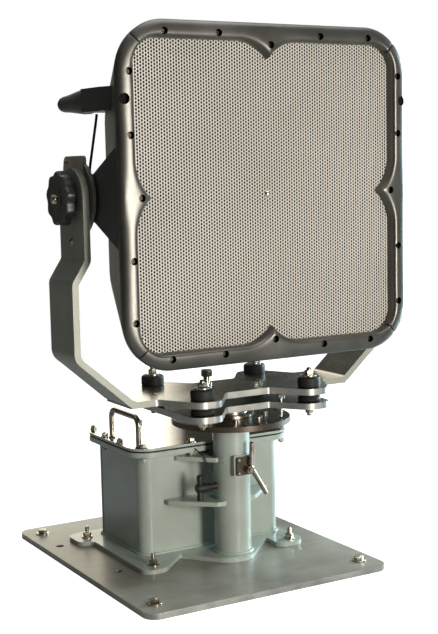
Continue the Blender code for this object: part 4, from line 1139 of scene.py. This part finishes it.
def build_housing():
    solid = bmesh.new()
    add_loft(solid, housing_rings(0.0))
    dress(to_object("housing_shell", solid), "head", "housing", ["rear_housing"], 30.0)
    middle_z = (COVER_Z0 + COVER_Z1) / 2.0
    half_z = (COVER_Z1 - COVER_Z0) / 2.0
    front = HOUSE_BACK_Y + 1.0
    levels = [(0, 40.0, front), (0, 40.0, front + 5), (6, 38.0, COVER_Y1 - 14), (8, 36.0, COVER_Y1 - 5),
              (11, 34.0, COVER_Y1 - 1.5), (16, 32.0, COVER_Y1)]
    solid = bmesh.new()
    add_loft(solid, [square_ring(COVER_X - inset, radius, y, middle_z, half_z - inset)
                     for inset, radius, y in levels])
    dress(to_object("rear_cover_shell", solid), "head", "housing", ["rear_cover"], 30.0)
    solid = bmesh.new()
    for sx in (-1, 0, 1):
        for sz in (-1, 0, 1):
            if sx or sz:
                at = (sx * (COVER_X - 30), 0, TILT_Z + middle_z + sz * (half_z - 30))
                add_cap_screw(solid, 5.0, COVER_Y1 - 1.0, COVER_Y1 + 3.2, at, "Y")
    dress(to_object("cover_screws", solid), "head", "bolt_steel")


def build_bosses_and_grips():
    front = HOUSE_FRONT_Y + 16.0
    for side, word, axis in ((-1, "left", "-X"), (1, "right", "X")):
        wedge = fillet([(front, -104, 0), (-56, -50, 10), (34, -44, 30),
                        (34, 44, 30), (-56, 50, 10), (front, 104, 0)], 10)
        span = sorted((side * 286.0, side * BOSS_X))
        boss = cut_by_housing(plate("boss_" + word, [shifted(wedge, 0, TILT_Z)], *span, "YZ"))
        dress(soften(boss, 3.0, 3, 40.0), "head", "housing", ["pivot_boss_" + word])
        solid = bmesh.new()
        add_thread(solid, TRUNNION_R, BOSS_X - 1, TRUNNION_END, (0, 0, TILT_Z), axis, 2.0)
        dress(to_object("trunnion_stud_" + word, solid), "head", "bolt_steel")

        solid = bmesh.new()
        stations = [(-30, 24, 22), (-10, 26.5, 24.0), (12, 26.0, 23.5), (30, 24.5, 22), (55, 22, 19.5),
                    (80, 19.5, 17.5), (100, 18, 16.2), (116, 17, 15.6), (122, 16, 15), (GRIP_END, 14, 13)]
        rings = []
        for y, half_z, half_x in stations:
            ring = []
            for k in range(40):
                angle = math.tau * k / 40
                swell = 1.0 + 0.05 * max(0.0, math.cos(angle * 2.0)) ** 6
                x = side * GRIP_X + half_x * swell * math.cos(angle)
                ring.append((x, y, GRIP_Z + half_z * math.sin(angle)))
            rings.append(ring)
        add_loft(solid, rings)
        dress(to_object("grip_" + word, solid), "head", "housing", ["rear_grip_" + word], 30.0)
        solid = bmesh.new()
        high = GRIP_END + 0.2
        cap = [(0, high), (10.5, high), (11.5, high - 1.0), (11.5, high - 4.2), (0, high - 4.2)]
        add_turned(solid, cap, (side * GRIP_X, 0, GRIP_Z), "Y", 32)
        dress(to_object("grip_end_" + word, solid), "head", "bronze")
        web = [(side * 296, -16, 0), (side * (GRIP_X + 24), -16, 6), (side * (GRIP_X + 18), -96, 8),
               (side * 336, -128, 0), (side * 325, -128, 0)]
        socket = cut_by_housing(plate("grip_socket_" + word, [fillet(web, 8)], GRIP_Z - 24, GRIP_Z + 24))
        dress(soften(socket, 2.5, 3, 40.0), "head", "housing")

    solid = bmesh.new()
    route = [(-331, -48, 1013), (-333, -46, 995), (-334, -36, 965), (-334, -22, 930), (-333, -10, 905),
             (-331, -4, 893)]
    add_tube(solid, smooth_route(route), 2.8, 14)
    dress(to_object("head_lead", solid), "head", "rubber", ["head_cable"])


def smooth_route(points, steps=6):
    """The points joined by a Catmull-Rom curve."""
    knots = [Vector(p) for p in points]
    knots = [knots[0]] + knots + [knots[-1]]
    route = []
    for a, b, c, d in zip(knots, knots[1:], knots[2:], knots[3:]):
        for k in range(steps):
            t = k / steps
            route.append(0.5 * (2 * b + (c - a) * t + (2 * a - 5 * b + 4 * c - d) * t * t
                                + (3 * b - a - 3 * c + d) * t ** 3))
    route.append(knots[-1])
    return route


def dress_hidden_nodes():
    """Pieces inside the assembly keep their CAD shape and get a finish."""
    for node, finish in (("amplifier_module", "plastic"), ("pan_bearing", "bolt_steel")):
        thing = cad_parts[node]
        thing.data.materials.clear()
        thing.data.materials.append(MATERIALS[finish])


make_camera()
make_world()
area_light("right_soft", (2.5, 0.25, 0.8), (0, 0, 0.35), (1.0, 1.5), 138.0, (0.68, 0.92, 1.0))
area_light("warm_panel", (0.30, -3.2, 0.72), (0, 0, 0.5), (0.7, 1.35), 108.0, (1.0, 0.94, 0.84))
area_light("top", (0.6, -0.6, 3.4), (0, 0, 0.3), (2.0, 2.0), 42.0, (1.0, 0.99, 0.97))
MATERIALS = {name: surface(name, *row[1:-1], **row[-1]) for name, row in FINISHES.items()}
build_floor()
build_base()
build_foot()
build_box()
build_column()
build_gussets()
build_clamps()
build_turntable()
build_yoke()
build_pivots()
build_frame()
build_grille()
build_housing()
build_bosses_and_grips()
dress_hidden_nodes()
